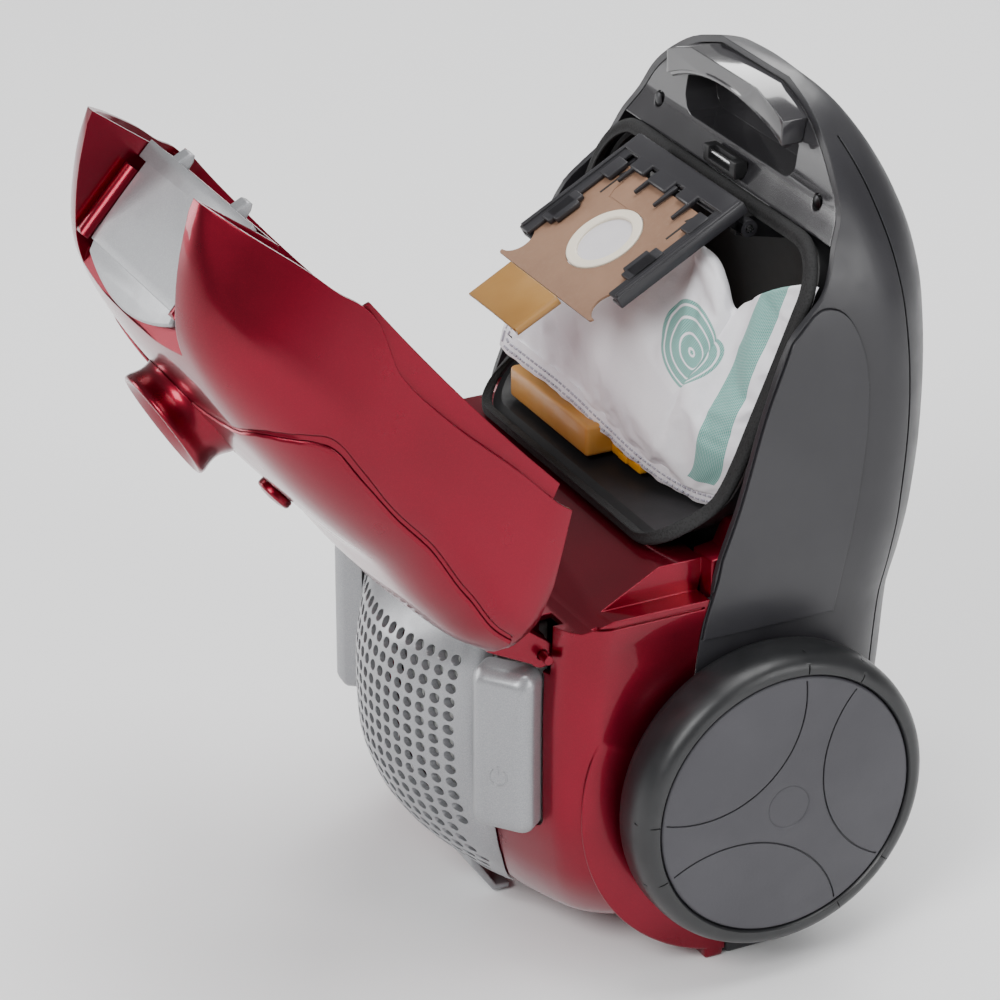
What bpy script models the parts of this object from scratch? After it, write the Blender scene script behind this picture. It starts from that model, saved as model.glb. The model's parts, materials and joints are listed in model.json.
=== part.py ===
"""A bagged canister vacuum cleaner, parked upright on its heels with its lid open.

Units are metres.  The machine frame has its origin in the middle of the wheel axle: +X is the
machine's right side, +Y its underside and +Z its front, where the carry handle is.  The lid side is
-Y.  One empty, machine_frame, carries everything and stands the machine on its parking heels.
"""

import math

import bmesh
import bpy
from mathutils import Matrix, Vector

# ---------------------------------------------------------------- driving dimensions

GAP = 0.0003
WALL = 0.003

FLOOR_BELOW_AXLE = 0.099
HEEL_INNER_X = 0.096
HEEL_OUTER_X = 0.1165
DEPTH_SHIFT = 0.08313

TYRE_RADIUS = 0.080
DISC_RADIUS = 0.069
WHEEL_INNER_X = 0.1185
WHEEL_OUTER_X = 0.148
AXLE_RADIUS = 0.006

LID_OPEN_ANGLE = math.radians(65.0)
LID_HINGE = Vector((0.0, -0.109, 0.085))
HORN_INNER_X = 0.0615

HOLDER_PIVOT = Vector((0.0, 0.027, 0.262))
HOLDER_REST_ANGLE = math.radians(-61.0)
HOLDER_PLANE = -0.0133
HOLDER_TOP = 0.003
HOLDER_LENGTH = 0.078
HOLDER_HALF_WIDTH = 0.052
CARD_HALF_WIDTH = 0.0488
CARD_THICKNESS = 0.0012
CARD_HOLE_RADIUS = 0.021

PORT_CENTRE = Vector((0.0, -0.066, 0.265))
PORT_TILT = math.radians(55.0)
INDICATOR_PLACE = Vector((0.0120, -0.0790, 0.2015))
INDICATOR_TILT = math.radians(66.0)

GRILLE_HINGE = Vector((0.0, -0.109, 0.0925))
CLIP_PIVOT = Vector((0.0, -0.104, -0.0765))

PEDAL_CENTRE = Vector((0.0870, -0.1235, 0.0320))
PEDAL_TURN = math.radians(38.5)
PEDAL_SIZE = Vector((0.033, 0.016, 0.088))
PEDAL_TRAVEL = 0.005

MOTOR_X = 0.0420
MOTOR_Y = -0.0200
REEL_CENTRE = Vector((-0.0740, -0.0120, -0.0040))

LEVER_PIVOT = Vector((0.0, -0.0035, 0.3040))

CASTER_CENTRE = Vector((0.0, 0.101, 0.2755))
CASTER_SWIVEL_Z = 0.284
CASTER_WHEEL_RADIUS = 0.012

# Hull stations from rear to front: height z, half width, lid side y, underside y, corner radii.
HULL = (
    (-0.090, 0.056, -0.040, 0.022, 0.014, 0.020),
    (-0.084, 0.080, -0.060, 0.046, 0.018, 0.028),
    (-0.066, 0.102, -0.080, 0.062, 0.020, 0.034),
    (-0.036, 0.1125, -0.094, 0.072, 0.016, 0.038),
    (0.000, 0.1160, -0.100, 0.079, 0.015, 0.040),
    (0.041, 0.1165, -0.100, 0.084, 0.015, 0.040),
    (0.080, 0.1170, -0.098, 0.087, 0.015, 0.040),
    (0.104, 0.1205, -0.096, 0.091, 0.015, 0.040),
    (0.130, 0.1230, -0.096, 0.095, 0.020, 0.040),
    (0.165, 0.1225, -0.080, 0.099, 0.020, 0.040),
    (0.205, 0.1205, -0.060, 0.1005, 0.020, 0.040),
    (0.235, 0.1170, -0.050, 0.100, 0.020, 0.040),
    (0.260, 0.1110, -0.040, 0.097, 0.020, 0.040),
    (0.282, 0.1015, -0.030, 0.0915, 0.020, 0.040),
    (0.300, 0.0890, -0.020, 0.084, 0.020, 0.036),
    (0.313, 0.0740, -0.010, 0.077, 0.018, 0.030),
    (0.323, 0.0570, 0.000, 0.0695, 0.014, 0.022),
    (0.330, 0.0360, 0.010, 0.062, 0.010, 0.014),
)
HULL_CROWN_LID = 0.026
HULL_CROWN_UNDER = 0.004

# The parting line (y, z) between the red rear shell and the dark chassis, bottom to top.
SEAM = (
    (-0.015, -0.130),
    (-0.015, -0.0485),
    (-0.036, -0.020),
    (-0.038, 0.000),
    (-0.036, 0.061),
    (-0.033, 0.095),
    (-0.029, 0.116),
)

# The upper edge (y, z) of the body's side walls, which the lid's rim meets.
SIDE_EDGE = (
    (-0.029, 0.116),
    (-0.0265, 0.128),
    (-0.0173, 0.153),
    (-0.0033, 0.198),
    (0.0115, 0.231),
    (0.0235, 0.2425),
    (0.0315, 0.250),
    (0.0360, 0.2590),
    (0.0400, 0.2700),
    (0.0465, 0.2830),
    (0.0490, 0.3000),
    (0.0545, 0.3250),
    (0.0580, 0.3400),
)
DECK_TOP = SIDE_EDGE[8:]
LEDGE_Z = 0.107
LEDGE_X = 0.1085
RIDGE_Z = 0.1238

# Lid stations in the closed position: height z, half width, top y, corner radius.
LID = (
    (0.1100, 0.1190, -0.112, 0.036),
    (0.1150, 0.1215, -0.119, 0.042),
    (0.1300, 0.1230, -0.118, 0.046),
    (0.1510, 0.1230, -0.110, 0.048),
    (0.1820, 0.1220, -0.093, 0.046),
    (0.2050, 0.1205, -0.084, 0.044),
    (0.2350, 0.1175, -0.071, 0.042),
    (0.2600, 0.1115, -0.058, 0.038),
    (0.2820, 0.1040, -0.046, 0.034),
    (0.3000, 0.0960, -0.033, 0.026),
    (0.3145, 0.0870, -0.018, 0.022),
    (0.3220, 0.0800, -0.003, 0.018),
    (0.3280, 0.0740, 0.015, 0.012),
    (0.3320, 0.0680, 0.034, 0.008),
)
LID_CROWN = 0.012
LID_FOOT_Y = 0.080

# The notch between the lid's horns (y, z): deep behind the latch lever, shallow under its push plate.
NOTCH = (
    (-0.0245, 0.3075),
    (-0.0125, 0.3075),
    (-0.0125, 0.2860),
    (0.2000, 0.2860),
    (0.2000, 0.4000),
    (-0.0245, 0.4000),
)
NOTCH_MIDDLE = (0.040, 0.330)

# The lid's inner lip (y, z): its free edge, which reaches past the rim inside the body's side walls.
LIP_EDGE = ((-0.0190, 0.1290), (-0.0090, 0.1550), (0.0040, 0.2010), (0.0150, 0.2300), (0.0170, 0.2360))

# Chamber rim: the half width, its two ends, its corner radius and its side profile (y, z).
RIM_HALF_WIDTH = 0.1060
RIM_REAR_Z = 0.128
RIM_FRONT_Z = 0.2690
RIM_CORNER = 0.026
RIM_PROFILE = (
    (-0.045, 0.126),
    (-0.030, 0.137),
    (-0.012, 0.150),
    (0.010, 0.195),
    (0.030, 0.242),
    (0.041, 0.268),
)
LINER_FLOOR_Y = 0.078

# Grille stations: height z, half width, edge y, middle y.
GRILLE = (
    (0.0910, 0.057, -0.112, -0.117),
    (0.0850, 0.060, -0.118, -0.127),
    (0.0760, 0.062, -0.124, -0.138),
    (0.0610, 0.063, -0.128, -0.149),
    (0.0300, 0.063, -0.130, -0.155),
    (0.0000, 0.062, -0.129, -0.154),
    (-0.0270, 0.060, -0.124, -0.146),
    (-0.0480, 0.056, -0.114, -0.133),
    (-0.0640, 0.049, -0.102, -0.118),
    (-0.0760, 0.040, -0.094, -0.105),
)
GRILLE_BACK_Y = -0.060

RECESS_HALF = 0.0550
RECESS_REAR_Z = 0.2850
RECESS_FLOOR_Y = 0.0660

HANDLE_HALF = 0.0575
HANDLE_TOP_Y = 0.0385
HANDLE_ARCH_TOP = 0.3185
HANDLE_ARCH_DROP = 0.0130

SCREW_PLACES = ((-0.079, 0.0478, 0.283), (0.079, 0.0478, 0.283))

# ---------------------------------------------------------------- collections and materials

PARTS = None
HELPERS = None

MATERIAL_VALUES = {
    "red_gloss": ((0.42, 0.008, 0.020), 0.18, 0.55),
    "dark_grey": ((0.060, 0.060, 0.068), 0.42, 0.0),
    "panel_grey": ((0.072, 0.072, 0.082), 0.36, 0.0),
    "deck_gloss": ((0.030, 0.030, 0.032), 0.10, 0.0),
    "black_plastic": ((0.012, 0.012, 0.013), 0.45, 0.0),
    "seal_foam": ((0.020, 0.020, 0.020), 0.90, 0.0),
    "tyre_rubber": ((0.035, 0.036, 0.038), 0.38, 0.0),
    "wheel_grey": ((0.110, 0.110, 0.122), 0.50, 0.0),
    "silver_paint": ((0.50, 0.51, 0.53), 0.32, 0.60),
    "steel": ((0.55, 0.55, 0.56), 0.28, 1.0),
    "kraft_card": ((0.42, 0.27, 0.17), 0.85, 0.0),
    "amber_plastic": ((0.66, 0.36, 0.07), 0.35, 0.0),
    "cream_ring": ((0.80, 0.74, 0.62), 0.50, 0.0),
    "bag_fleece": ((0.80, 0.78, 0.82), 0.85, 0.0),
    "filter_paper": ((0.75, 0.76, 0.74), 0.90, 0.0),
    "copper_core": ((0.45, 0.22, 0.10), 0.45, 0.8),
    "aluminium": ((0.60, 0.61, 0.62), 0.35, 1.0),
}


def clear_scene():
    for thing in list(bpy.data.objects):
        bpy.data.objects.remove(thing, do_unlink=True)


def make_collection(name):
    group = bpy.data.collections.new(name)
    bpy.context.scene.collection.children.link(group)
    return group


def material(name):
    found = bpy.data.materials.get(name)
    if found:
        return found
    colour, roughness, metallic = MATERIAL_VALUES[name]
    made = bpy.data.materials.new(name)
    made.use_nodes = True
    shader = made.node_tree.nodes["Principled BSDF"]
    shader.inputs["Base Color"].default_value = (*colour, 1.0)
    shader.inputs["Roughness"].default_value = roughness
    shader.inputs["Metallic"].default_value = metallic
    return made


# ---------------------------------------------------------------- modelling helpers


def object_from(bm, name):
    """Turn a bmesh into an object whose faces point out."""
    bmesh.ops.recalc_face_normals(bm, faces=bm.faces)
    mesh = bpy.data.meshes.new(name)
    bm.to_mesh(mesh)
    bm.free()
    made = bpy.data.objects.new(name, mesh)
    HELPERS.objects.link(made)
    return made


def loft(name, rings):
    """Skin rings of equal length, in order, and cap both ends."""
    bm = bmesh.new()
    rows = [[bm.verts.new(point) for point in ring] for ring in rings]
    count = len(rings[0])
    for lower, upper in zip(rows, rows[1:]):
        for i in range(count):
            j = (i + 1) % count
            bm.faces.new((lower[i], lower[j], upper[j], upper[i]))
    bm.faces.new(rows[0])
    bm.faces.new(rows[-1])
    return object_from(bm, name)


def prism(name, outline, start, end, axis="x"):
    """Push a flat outline along an axis; the outline's two numbers are the other two axes."""
    place = {
        "x": lambda a, b, t: (t, a, b),
        "y": lambda a, b, t: (a, t, b),
        "z": lambda a, b, t: (a, b, t),
    }[axis]
    bm = bmesh.new()
    face = bm.faces.new([bm.verts.new(place(a, b, start)) for a, b in outline])
    pushed = bmesh.ops.extrude_face_region(bm, geom=[face])
    moved = [item for item in pushed["geom"] if isinstance(item, bmesh.types.BMVert)]
    bmesh.ops.translate(bm, verts=moved, vec=place(0.0, 0.0, end - start))
    return object_from(bm, name)


def box(name, low, high, edge=0.0):
    """A block between two corners, its edges rounded by edge."""
    bm = bmesh.new()
    bmesh.ops.create_cube(bm, size=1.0)
    size = [b - a for a, b in zip(low, high)]
    middle = [(a + b) / 2 for a, b in zip(low, high)]
    bmesh.ops.scale(bm, verts=bm.verts, vec=size)
    if edge:
        bmesh.ops.bevel(bm, geom=list(bm.edges), offset=edge, segments=2, profile=0.5, affect="EDGES")
    bmesh.ops.translate(bm, verts=bm.verts, vec=middle)
    return object_from(bm, name)


def rod(name, radius, start, end, axis="x", centre=(0.0, 0.0), sides=24, end_radius=None):
    """A cylinder or cone along an axis; centre holds its place on the other two axes."""
    bm = bmesh.new()
    last = radius if end_radius is None else end_radius
    bmesh.ops.create_cone(
        bm, cap_ends=True, segments=sides, radius1=radius, radius2=last, depth=end - start
    )
    middle = (start + end) / 2
    if axis == "x":
        bmesh.ops.rotate(bm, verts=bm.verts, cent=(0, 0, 0), matrix=Matrix.Rotation(math.pi / 2, 3, "Y"))
        offset = (middle, centre[0], centre[1])
    elif axis == "y":
        bmesh.ops.rotate(bm, verts=bm.verts, cent=(0, 0, 0), matrix=Matrix.Rotation(-math.pi / 2, 3, "X"))
        offset = (centre[0], middle, centre[1])
    else:
        offset = (centre[0], centre[1], middle)
    bmesh.ops.translate(bm, verts=bm.verts, vec=offset)
    return object_from(bm, name)


def turned(name, profile, steps=40):
    """Turn a closed profile of (radius, height) points round the Z axis."""
    bm = bmesh.new()
    points = [bm.verts.new((radius, 0.0, height)) for radius, height in profile]
    closed = profile[0][0] > 1e-6 and profile[-1][0] > 1e-6
    edges = [bm.edges.new(pair) for pair in zip(points, points[1:])]
    if closed:
        edges.append(bm.edges.new((points[-1], points[0])))
    bmesh.ops.spin(
        bm,
        geom=points + edges,
        cent=(0, 0, 0),
        axis=(0, 0, 1),
        angle=2 * math.pi,
        steps=steps,
        use_merge=True,
    )
    bmesh.ops.remove_doubles(bm, verts=bm.verts, dist=1e-6)
    return object_from(bm, name)


def move(thing, matrix):
    thing.data.transform(matrix)
    return thing


def lay_along_x(thing, side):
    """Stand a turned piece's axis along +X or -X."""
    return move(thing, Matrix.Rotation(side * math.pi / 2, 4, "Y"))


def tube(name, points, radius, cyclic=False, sides=2):
    """A round bar along points, with welded caps."""
    curve = bpy.data.curves.new(name, "CURVE")
    curve.dimensions = "3D"
    curve.bevel_depth = radius
    curve.bevel_resolution = sides
    curve.use_fill_caps = not cyclic
    spline = curve.splines.new("POLY")
    spline.points.add(len(points) - 1)
    for knot, point in zip(spline.points, points):
        knot.co = (*point, 1.0)
    spline.use_cyclic_u = cyclic
    guide = bpy.data.objects.new(name + "_curve", curve)
    HELPERS.objects.link(guide)
    bpy.context.view_layer.update()
    seen = guide.evaluated_get(bpy.context.evaluated_depsgraph_get())
    bm = bmesh.new()
    bm.from_mesh(seen.to_mesh())
    seen.to_mesh_clear()
    bmesh.ops.remove_doubles(bm, verts=bm.verts, dist=1e-6)
    bpy.data.objects.remove(guide, do_unlink=True)
    return object_from(bm, name)


def combine(thing, other, operation):
    """Apply an exact Boolean and remove the other object."""
    step = thing.modifiers.new(operation.lower(), "BOOLEAN")
    step.operation = operation
    step.solver = "EXACT"
    step.object = other
    bpy.context.view_layer.update()
    seen = thing.evaluated_get(bpy.context.evaluated_depsgraph_get())
    result = bpy.data.meshes.new_from_object(seen)
    thing.modifiers.remove(step)
    thing.data = result
    bpy.data.objects.remove(other, do_unlink=True)
    return thing


def cut(thing, other):
    return combine(thing, other, "DIFFERENCE")


def join(thing, other):
    return combine(thing, other, "UNION")


def keep(thing, other):
    return combine(thing, other, "INTERSECT")


def finish(thing, name, slot, frame, pivot=(0.0, 0.0, 0.0), smooth=35.0):
    """Name a piece, colour it, shade it and hang it on its frame, whose origin is pivot."""
    move(thing, Matrix.Translation(-Vector(pivot)))
    thing.name = name
    thing.data.name = name
    thing.data.materials.clear()
    thing.data.materials.append(material(slot))
    thing.data.shade_smooth()
    thing.data.set_sharp_from_angle(angle=math.radians(smooth))
    HELPERS.objects.unlink(thing)
    PARTS.objects.link(thing)
    thing.parent = frame
    return thing


def empty(name, place, parent=None, turn=0.0):
    """An empty on a joint's axis, turned about X."""
    made = bpy.data.objects.new(name, None)
    HELPERS.objects.link(made)
    made.location = place
    made.rotation_euler = (turn, 0.0, 0.0)
    made.parent = parent
    made.empty_display_size = 0.02
    return made


# ---------------------------------------------------------------- shared outlines


def arc(centre, radius, start, end, count):
    """Points on an arc in a plane, angles in degrees."""
    points = []
    for i in range(count + 1):
        angle = math.radians(start + (end - start) * i / count)
        points.append((centre[0] + radius * math.cos(angle), centre[1] + radius * math.sin(angle)))
    return points


def section(z, half, low, high, r_low, r_high, crown_low, crown_high):
    """A rounded rectangle at height z whose lid side and underside are crowned."""
    flat = []
    inner = half - r_low
    flat += [(-inner + 2 * inner * i / 6, low) for i in range(1, 6)]
    flat += arc((inner, low + r_low), r_low, -90, 0, 3)
    flat.append((half, (low + high) / 2))
    inner = half - r_high
    flat += arc((inner, high - r_high), r_high, 0, 90, 4)
    flat += [(inner - 2 * inner * i / 4, high) for i in range(1, 4)]
    flat += arc((-inner, high - r_high), r_high, 90, 180, 4)
    flat.append((-half, (low + high) / 2))
    flat += arc((-half + r_low, low + r_low), r_low, 180, 270, 3)
    middle = (low + high) / 2
    ring = []
    for x, y in flat:
        bulge = 1.0 - (x / half) ** 2
        if y < middle:
            y -= crown_low * bulge * (middle - y) / (middle - low)
        else:
            y += crown_high * bulge * (y - middle) / (high - middle)
        ring.append((x, y, z))
    return ring


def hull(name, grow=0.0):
    """The closed outer form of the body, grown or shrunk by grow."""
    first = HULL[0][0]
    last = HULL[-1][0]
    centre = (first + last) / 2
    stretch = 1.0 + grow / ((last - first) / 2)
    rings = []
    for z, half, low, high, r_low, r_high in HULL:
        rings.append(
            section(
                centre + (z - centre) * stretch,
                half + grow,
                low - grow,
                high + grow,
                max(r_low + grow, 0.004),
                max(r_high + grow, 0.004),
                HULL_CROWN_LID,
                HULL_CROWN_UNDER,
            )
        )
    return loft(name, rings)


def dome(name, grow=0.0, trim=0.0):
    """The closed outer form of the lid; trim moves its two ends inwards."""
    first = LID[0][0]
    last = LID[-1][0]
    centre = (first + last) / 2
    shrink = 1.0 - trim / ((last - first) / 2)
    rings = []
    for z, half, top, radius in LID:
        rings.append(
            section(
                centre + (z - centre) * shrink,
                half + grow,
                top + LID_CROWN - grow,
                LID_FOOT_Y,
                max(radius + grow, 0.004),
                0.004,
                LID_CROWN,
                0.0,
            )
        )
    return loft(name, rings)


def shifted(outline, dy, dz=0.0):
    return [(y + dy, z + dz) for y, z in outline]


def rim_y(z):
    """The chamber rim's y at height z, read from its side profile."""
    profile = RIM_PROFILE
    if z <= profile[0][1]:
        return profile[0][0]
    for (y0, z0), (y1, z1) in zip(profile, profile[1:]):
        if z <= z1:
            return y0 + (y1 - y0) * (z - z0) / (z1 - z0)
    return profile[-1][0]


def rim_loop(inset, rear_inset, lift=0.0, floor=None):
    """The chamber's rounded rectangle, inset all round, on the rim or on a floor plane."""
    half = RIM_HALF_WIDTH - inset
    rear = RIM_REAR_Z + rear_inset
    front = RIM_FRONT_Z - inset
    radius = max(RIM_CORNER - inset, 0.006)
    flat = []
    flat += arc((half - radius, rear + radius), radius, -90, 0, 5)
    flat += [(half, rear + radius + (front - rear - 2 * radius) * i / 4) for i in range(1, 4)]
    flat += arc((half - radius, front - radius), radius, 0, 90, 5)
    flat += arc((-half + radius, front - radius), radius, 90, 180, 5)
    flat += [(-half, front - radius - (front - rear - 2 * radius) * i / 4) for i in range(1, 4)]
    flat += arc((-half + radius, rear + radius), radius, 180, 270, 5)
    if floor is not None:
        return [(x, floor, z) for x, z in flat]
    return [(x, rim_y(z) + lift, z) for x, z in flat]


# ---------------------------------------------------------------- body


def above_body(name):
    """Everything on the lid side of the body's upper edge."""
    outline = [(-0.30, LEDGE_Z), (-0.029, LEDGE_Z)]
    outline += SIDE_EDGE
    outline += [(0.058, 0.50), (-0.30, 0.50)]
    return prism(name, outline, -0.30, 0.30)


def red_zone(name):
    """The part of space that belongs to the red rear shell, up to the ridge behind the chamber."""
    outline = list(SEAM)
    outline += [(-0.029, RIDGE_Z), (-0.052, RIDGE_Z), (-0.096, 0.100), (-0.30, 0.100), (-0.30, -0.130)]
    return prism(name, outline, -0.30, 0.30)


def behind_seam(name):
    """Everything on the red shell's side of the seam, with a small gap."""
    outline = [(y + 0.0004, z) for y, z in SEAM]
    outline += [(-0.0286, RIDGE_Z + 0.0004), (-0.30, RIDGE_Z + 0.0004), (-0.30, -0.130)]
    return prism(name, outline, -0.30, 0.30)


def wheel_boss(name, side, zone):
    """The flared disc of the red shell inboard of a wheel."""
    flare = rod(name, 0.076, 0.080, 0.1165, "x", (0.0, 0.0), 48, 0.096)
    if side < 0:
        flare = move(flare, Matrix.Rotation(math.pi, 4, "Z"))
    return keep(flare, zone)


def rear_shell(frame):
    shell = keep(hull("rear_shell"), red_zone("red"))
    for side in (-1, 1):
        shell = join(shell, wheel_boss("boss", side, red_zone("red")))
        low, high = sorted((side * HEEL_INNER_X, side * HEEL_OUTER_X))
        shell = join(shell, box("heel", (low, -0.026, -FLOOR_BELOW_AXLE), (high, -0.0153, -0.050), 0.002))
    shell = join(shell, box("rest", (-0.020, -0.062, -FLOOR_BELOW_AXLE), (0.020, -0.044, -0.080), 0.002))
    hollow = keep(hull("hollow", -WALL), red_zone_inner())
    shell = cut(shell, hollow)
    for side in (-1, 1):
        low, high = sorted((side * LEDGE_X, side * 0.30))
        shell = cut(shell, box("ledge", (low, -0.30, LEDGE_Z), (high, 0.10, 0.20)))
        low, high = sorted((side * 0.0865, side * 0.0995))
        shell = cut(shell, box("slot", (low, -0.16, 0.074), (high, -0.0985, 0.16)))
        shell = cut(shell, pedal_block("pocket", side, 0.0006, 0.020))
        shell = cut(shell, rod("hole", AXLE_RADIUS + 0.0015, *sorted((side * 0.09, side * 0.13)), "x"))
        for start, end in ((0.0775, 0.0860), (0.1000, 0.1070)):
            low, high = sorted((side * start, side * end))
            lug = rod("lug", 0.0075, low, high, "x", (LID_HINGE.y, LID_HINGE.z), 20)
            shell = join(shell, lug)
        low, high = sorted((side * 0.0790, side * 0.1055))
        shell = cut(shell, rod("bore", 0.0028, low, high, "x", (LID_HINGE.y, LID_HINGE.z), 16))
    shell = cut(shell, box("window", (-0.0545, -0.20, -0.0425), (0.0545, -0.080, 0.0775)))
    shell = cut(shell, box("outlet", (-0.1006, -0.13, -0.0506), (-0.0874, -0.06, -0.0374)))
    return finish(shell, "rear_shell", "red_gloss", frame)


def red_zone_inner():
    """The red shell's hollow: the red zone drawn in by the wall, open towards the chassis."""
    top = RIDGE_Z - WALL
    outline = [(0.15, -0.130), (0.15, top), (-0.0505, top), (-0.0945, 0.097), (-0.30, 0.097)]
    outline.append((-0.30, -0.130))
    inner = prism("inner", outline, -0.30, 0.30)
    for side in (-1, 1):
        low, high = sorted((side * (LEDGE_X - WALL), side * 0.40))
        inner = cut(inner, box("shoulder", (low, -0.40, LEDGE_Z - WALL), (high, 0.20, 0.20)))
    return inner


PANEL_TOP = ((0.0240, 0.2420), (0.0300, 0.2445), (0.0370, 0.2435), (0.0430, 0.2390))
PANEL_REAR = ((0.0490, 0.2280), (0.0530, 0.2110), (0.0530, 0.1840), (0.0490, 0.1490), (0.0430, 0.1100))


def panel_outline(shrink):
    """The lobed side panel's outline (y, z), drawn in by shrink."""
    front = [(-0.0328 + shrink, 0.0840 + shrink), (-0.0315 + shrink, 0.0980), (-0.0275 + shrink, 0.1170)]
    front += shifted(SIDE_EDGE[1:5], 0.0006 + shrink)
    lobe = [(y, z - shrink) for y, z in PANEL_TOP]
    rear = shifted(PANEL_REAR, -shrink)
    return front + lobe + rear + [(0.0405 - shrink, 0.0840 + shrink)]


def lower_chassis(frame):
    body = cut(hull("chassis"), above_body("above"))
    body = cut(body, behind_seam("red"))
    for side in (-1, 1):
        low, high = sorted((side * HEEL_INNER_X, side * HEEL_OUTER_X))
        body = join(body, box("heel", (low, -0.0142, -FLOOR_BELOW_AXLE), (high, 0.022, -0.040), 0.003))
    inner = hull("inner", -WALL)
    body = cut(body, inner)
    for side in (-1, 1):
        low, high = sorted((side * 0.100, side * 0.30))
        pocket = prism("pocket", panel_outline(0.0), low, high)
        pocket = cut(pocket, hull("skin", -0.0016))
        body = cut(body, pocket)
        body = cut(body, rod("hole", AXLE_RADIUS + 0.0015, *sorted((side * 0.09, side * 0.13)), "x"))
    body = join(body, rod("socket", 0.0240, 0.0804, 0.0895, "y", (0.0, CASTER_SWIVEL_Z), 28))
    body = cut(body, rod("well", 0.0218, 0.0828, 0.1200, "y", (0.0, CASTER_SWIVEL_Z), 28))
    body = cut(body, rod("post_hole", 0.0048, 0.0700, 0.0900, "y", (0.0, CASTER_SWIVEL_Z), 16))
    return finish(body, "lower_chassis", "dark_grey", frame)


def side_panel(frame, side, name):
    low, high = sorted((side * 0.100, side * 0.30))
    panel = prism("panel", panel_outline(0.0004), low, high)
    panel = keep(panel, hull("outer", 0.0013))
    panel = cut(panel, hull("under", -0.0012))
    return finish(panel, name, "panel_grey", frame)


def deck_plate(name, lift, drop):
    """A slab under the deck's top line, from lift above it to drop below it."""
    upper = [(y - lift, z) for y, z in DECK_TOP]
    lower = [(y + drop, z) for y, z in reversed(DECK_TOP)]
    return prism(name, upper + lower, -0.30, 0.30)


def recess(name, grow, top, floor):
    """The finger recess under the handle, from top to floor, its outline grown by grow."""
    half = RECESS_HALF + grow
    outline = [(-half, RECESS_REAR_Z - grow), (half, RECESS_REAR_Z - grow), (half, 0.3030)]
    outline += [(0.0400 + grow, 0.3150 + grow), (-0.0400 - grow, 0.3150 + grow), (-half, 0.3030)]
    return prism(name, outline, top, floor, "y")


def front_deck(frame):
    deck = keep(deck_plate("deck", 0.0, WALL), hull("fit", -WALL - 0.0004))
    well = cut(recess("well", 0.0025, 0.0300, RECESS_FLOOR_Y + 0.0025), deck_plate("above", 0.06, 0.0010))
    deck = join(deck, well)
    deck = cut(deck, recess("hollow", 0.0, 0.0300, RECESS_FLOOR_Y))
    for x, y, z in SCREW_PLACES:
        deck = cut(deck, rod("hole", 0.0024, 0.03, 0.06, "y", (x, z), 16))
        deck = cut(deck, rod("seat", 0.0042, 0.03, y + GAP, "y", (x, z), 20))
    return finish(deck, "front_deck", "deck_gloss", frame)


def carry_handle(frame):
    """The bar across the nose: it follows the hull outside and an arch inside."""
    arch = []
    for i in range(13):
        x = HANDLE_HALF * (1 - i / 6)
        arch.append((x, HANDLE_ARCH_TOP - HANDLE_ARCH_DROP * (x / HANDLE_HALF) ** 2))
    outline = [(-HANDLE_HALF, 0.345), (HANDLE_HALF, 0.345)] + arch
    bar = prism("handle", outline, HANDLE_TOP_Y, 0.090, "y")
    bar = keep(bar, hull("nose", -WALL - 0.0004))
    bar = cut(bar, deck_plate("surface", GAP, 0.05))
    return finish(bar, "carry_handle", "deck_gloss", frame)


def deck_screw(frame, place, name):
    x, y, z = place
    profile = ((0.0, 0.0), (0.0036, 0.0), (0.0036, 0.0018), (0.0020, 0.0026), (0.0, 0.0026))
    head = turned("head", profile, 20)
    head = move(head, Matrix.Rotation(math.pi / 2, 4, "X"))
    head = move(head, Matrix.Translation((x, y, z)))
    shank = rod("shank", 0.0020, y - 0.0010, y + 0.0120, "y", (x, z), 12)
    return finish(join(head, shank), name, "steel", frame)


def latch_keeper(frame):
    keeper = box("keeper", (-0.0160, 0.0370, 0.2736), (0.0160, 0.0444, 0.2826))
    keeper = cut(keeper, deck_plate("surface", GAP, 0.03))
    return finish(keeper, "latch_keeper", "black_plastic", frame)


# ---------------------------------------------------------------- bag chamber


def chamber_liner(frame):
    """The tub round the bag, cut off along the rim, with two lugs for the bag holder's pins."""
    outer = loft(
        "liner",
        [
            rim_loop(0.0030, 0.0020, floor=LINER_FLOOR_Y + 0.002),
            rim_loop(-0.0040, -0.0034, floor=-0.090),
        ],
    )
    inner = loft(
        "space",
        [
            rim_loop(0.0060, 0.0060, floor=LINER_FLOOR_Y),
            rim_loop(-0.0010, -0.0012, floor=-0.100),
        ],
    )
    rear_y = RIM_PROFILE[0][0]
    front_y = RIM_PROFILE[-1][0]
    above = [(-0.30, 0.05), (rear_y, 0.05), *RIM_PROFILE, (front_y, 0.40), (-0.30, 0.40)]
    liner = cut(cut(outer, inner), prism("above", above, -0.20, 0.20))
    for side in (-1, 1):
        low, high = sorted((side * 0.0385, side * 0.0435))
        outline = [(0.0225, 0.2575), (0.0550, 0.2500), (0.0550, 0.2660), (0.0225, 0.2660)]
        liner = join(liner, prism("lug", outline, low, high))
        liner = cut(liner, rod("bore", 0.0021, low - 0.002, high + 0.002, "x", tuple(HOLDER_PIVOT.yz), 12))
    liner = cut(liner, rod("inlet", 0.0300, 0.110, 0.140, "z", (0.0420, 0.0200), 24))
    return finish(liner, "chamber_liner", "black_plastic", frame)


def chamber_seal(frame):
    seal = tube("seal", rim_loop(-0.0005, -0.0005, lift=-0.0055), 0.0030, cyclic=True)
    return finish(seal, "chamber_seal", "seal_foam", frame)


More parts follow.
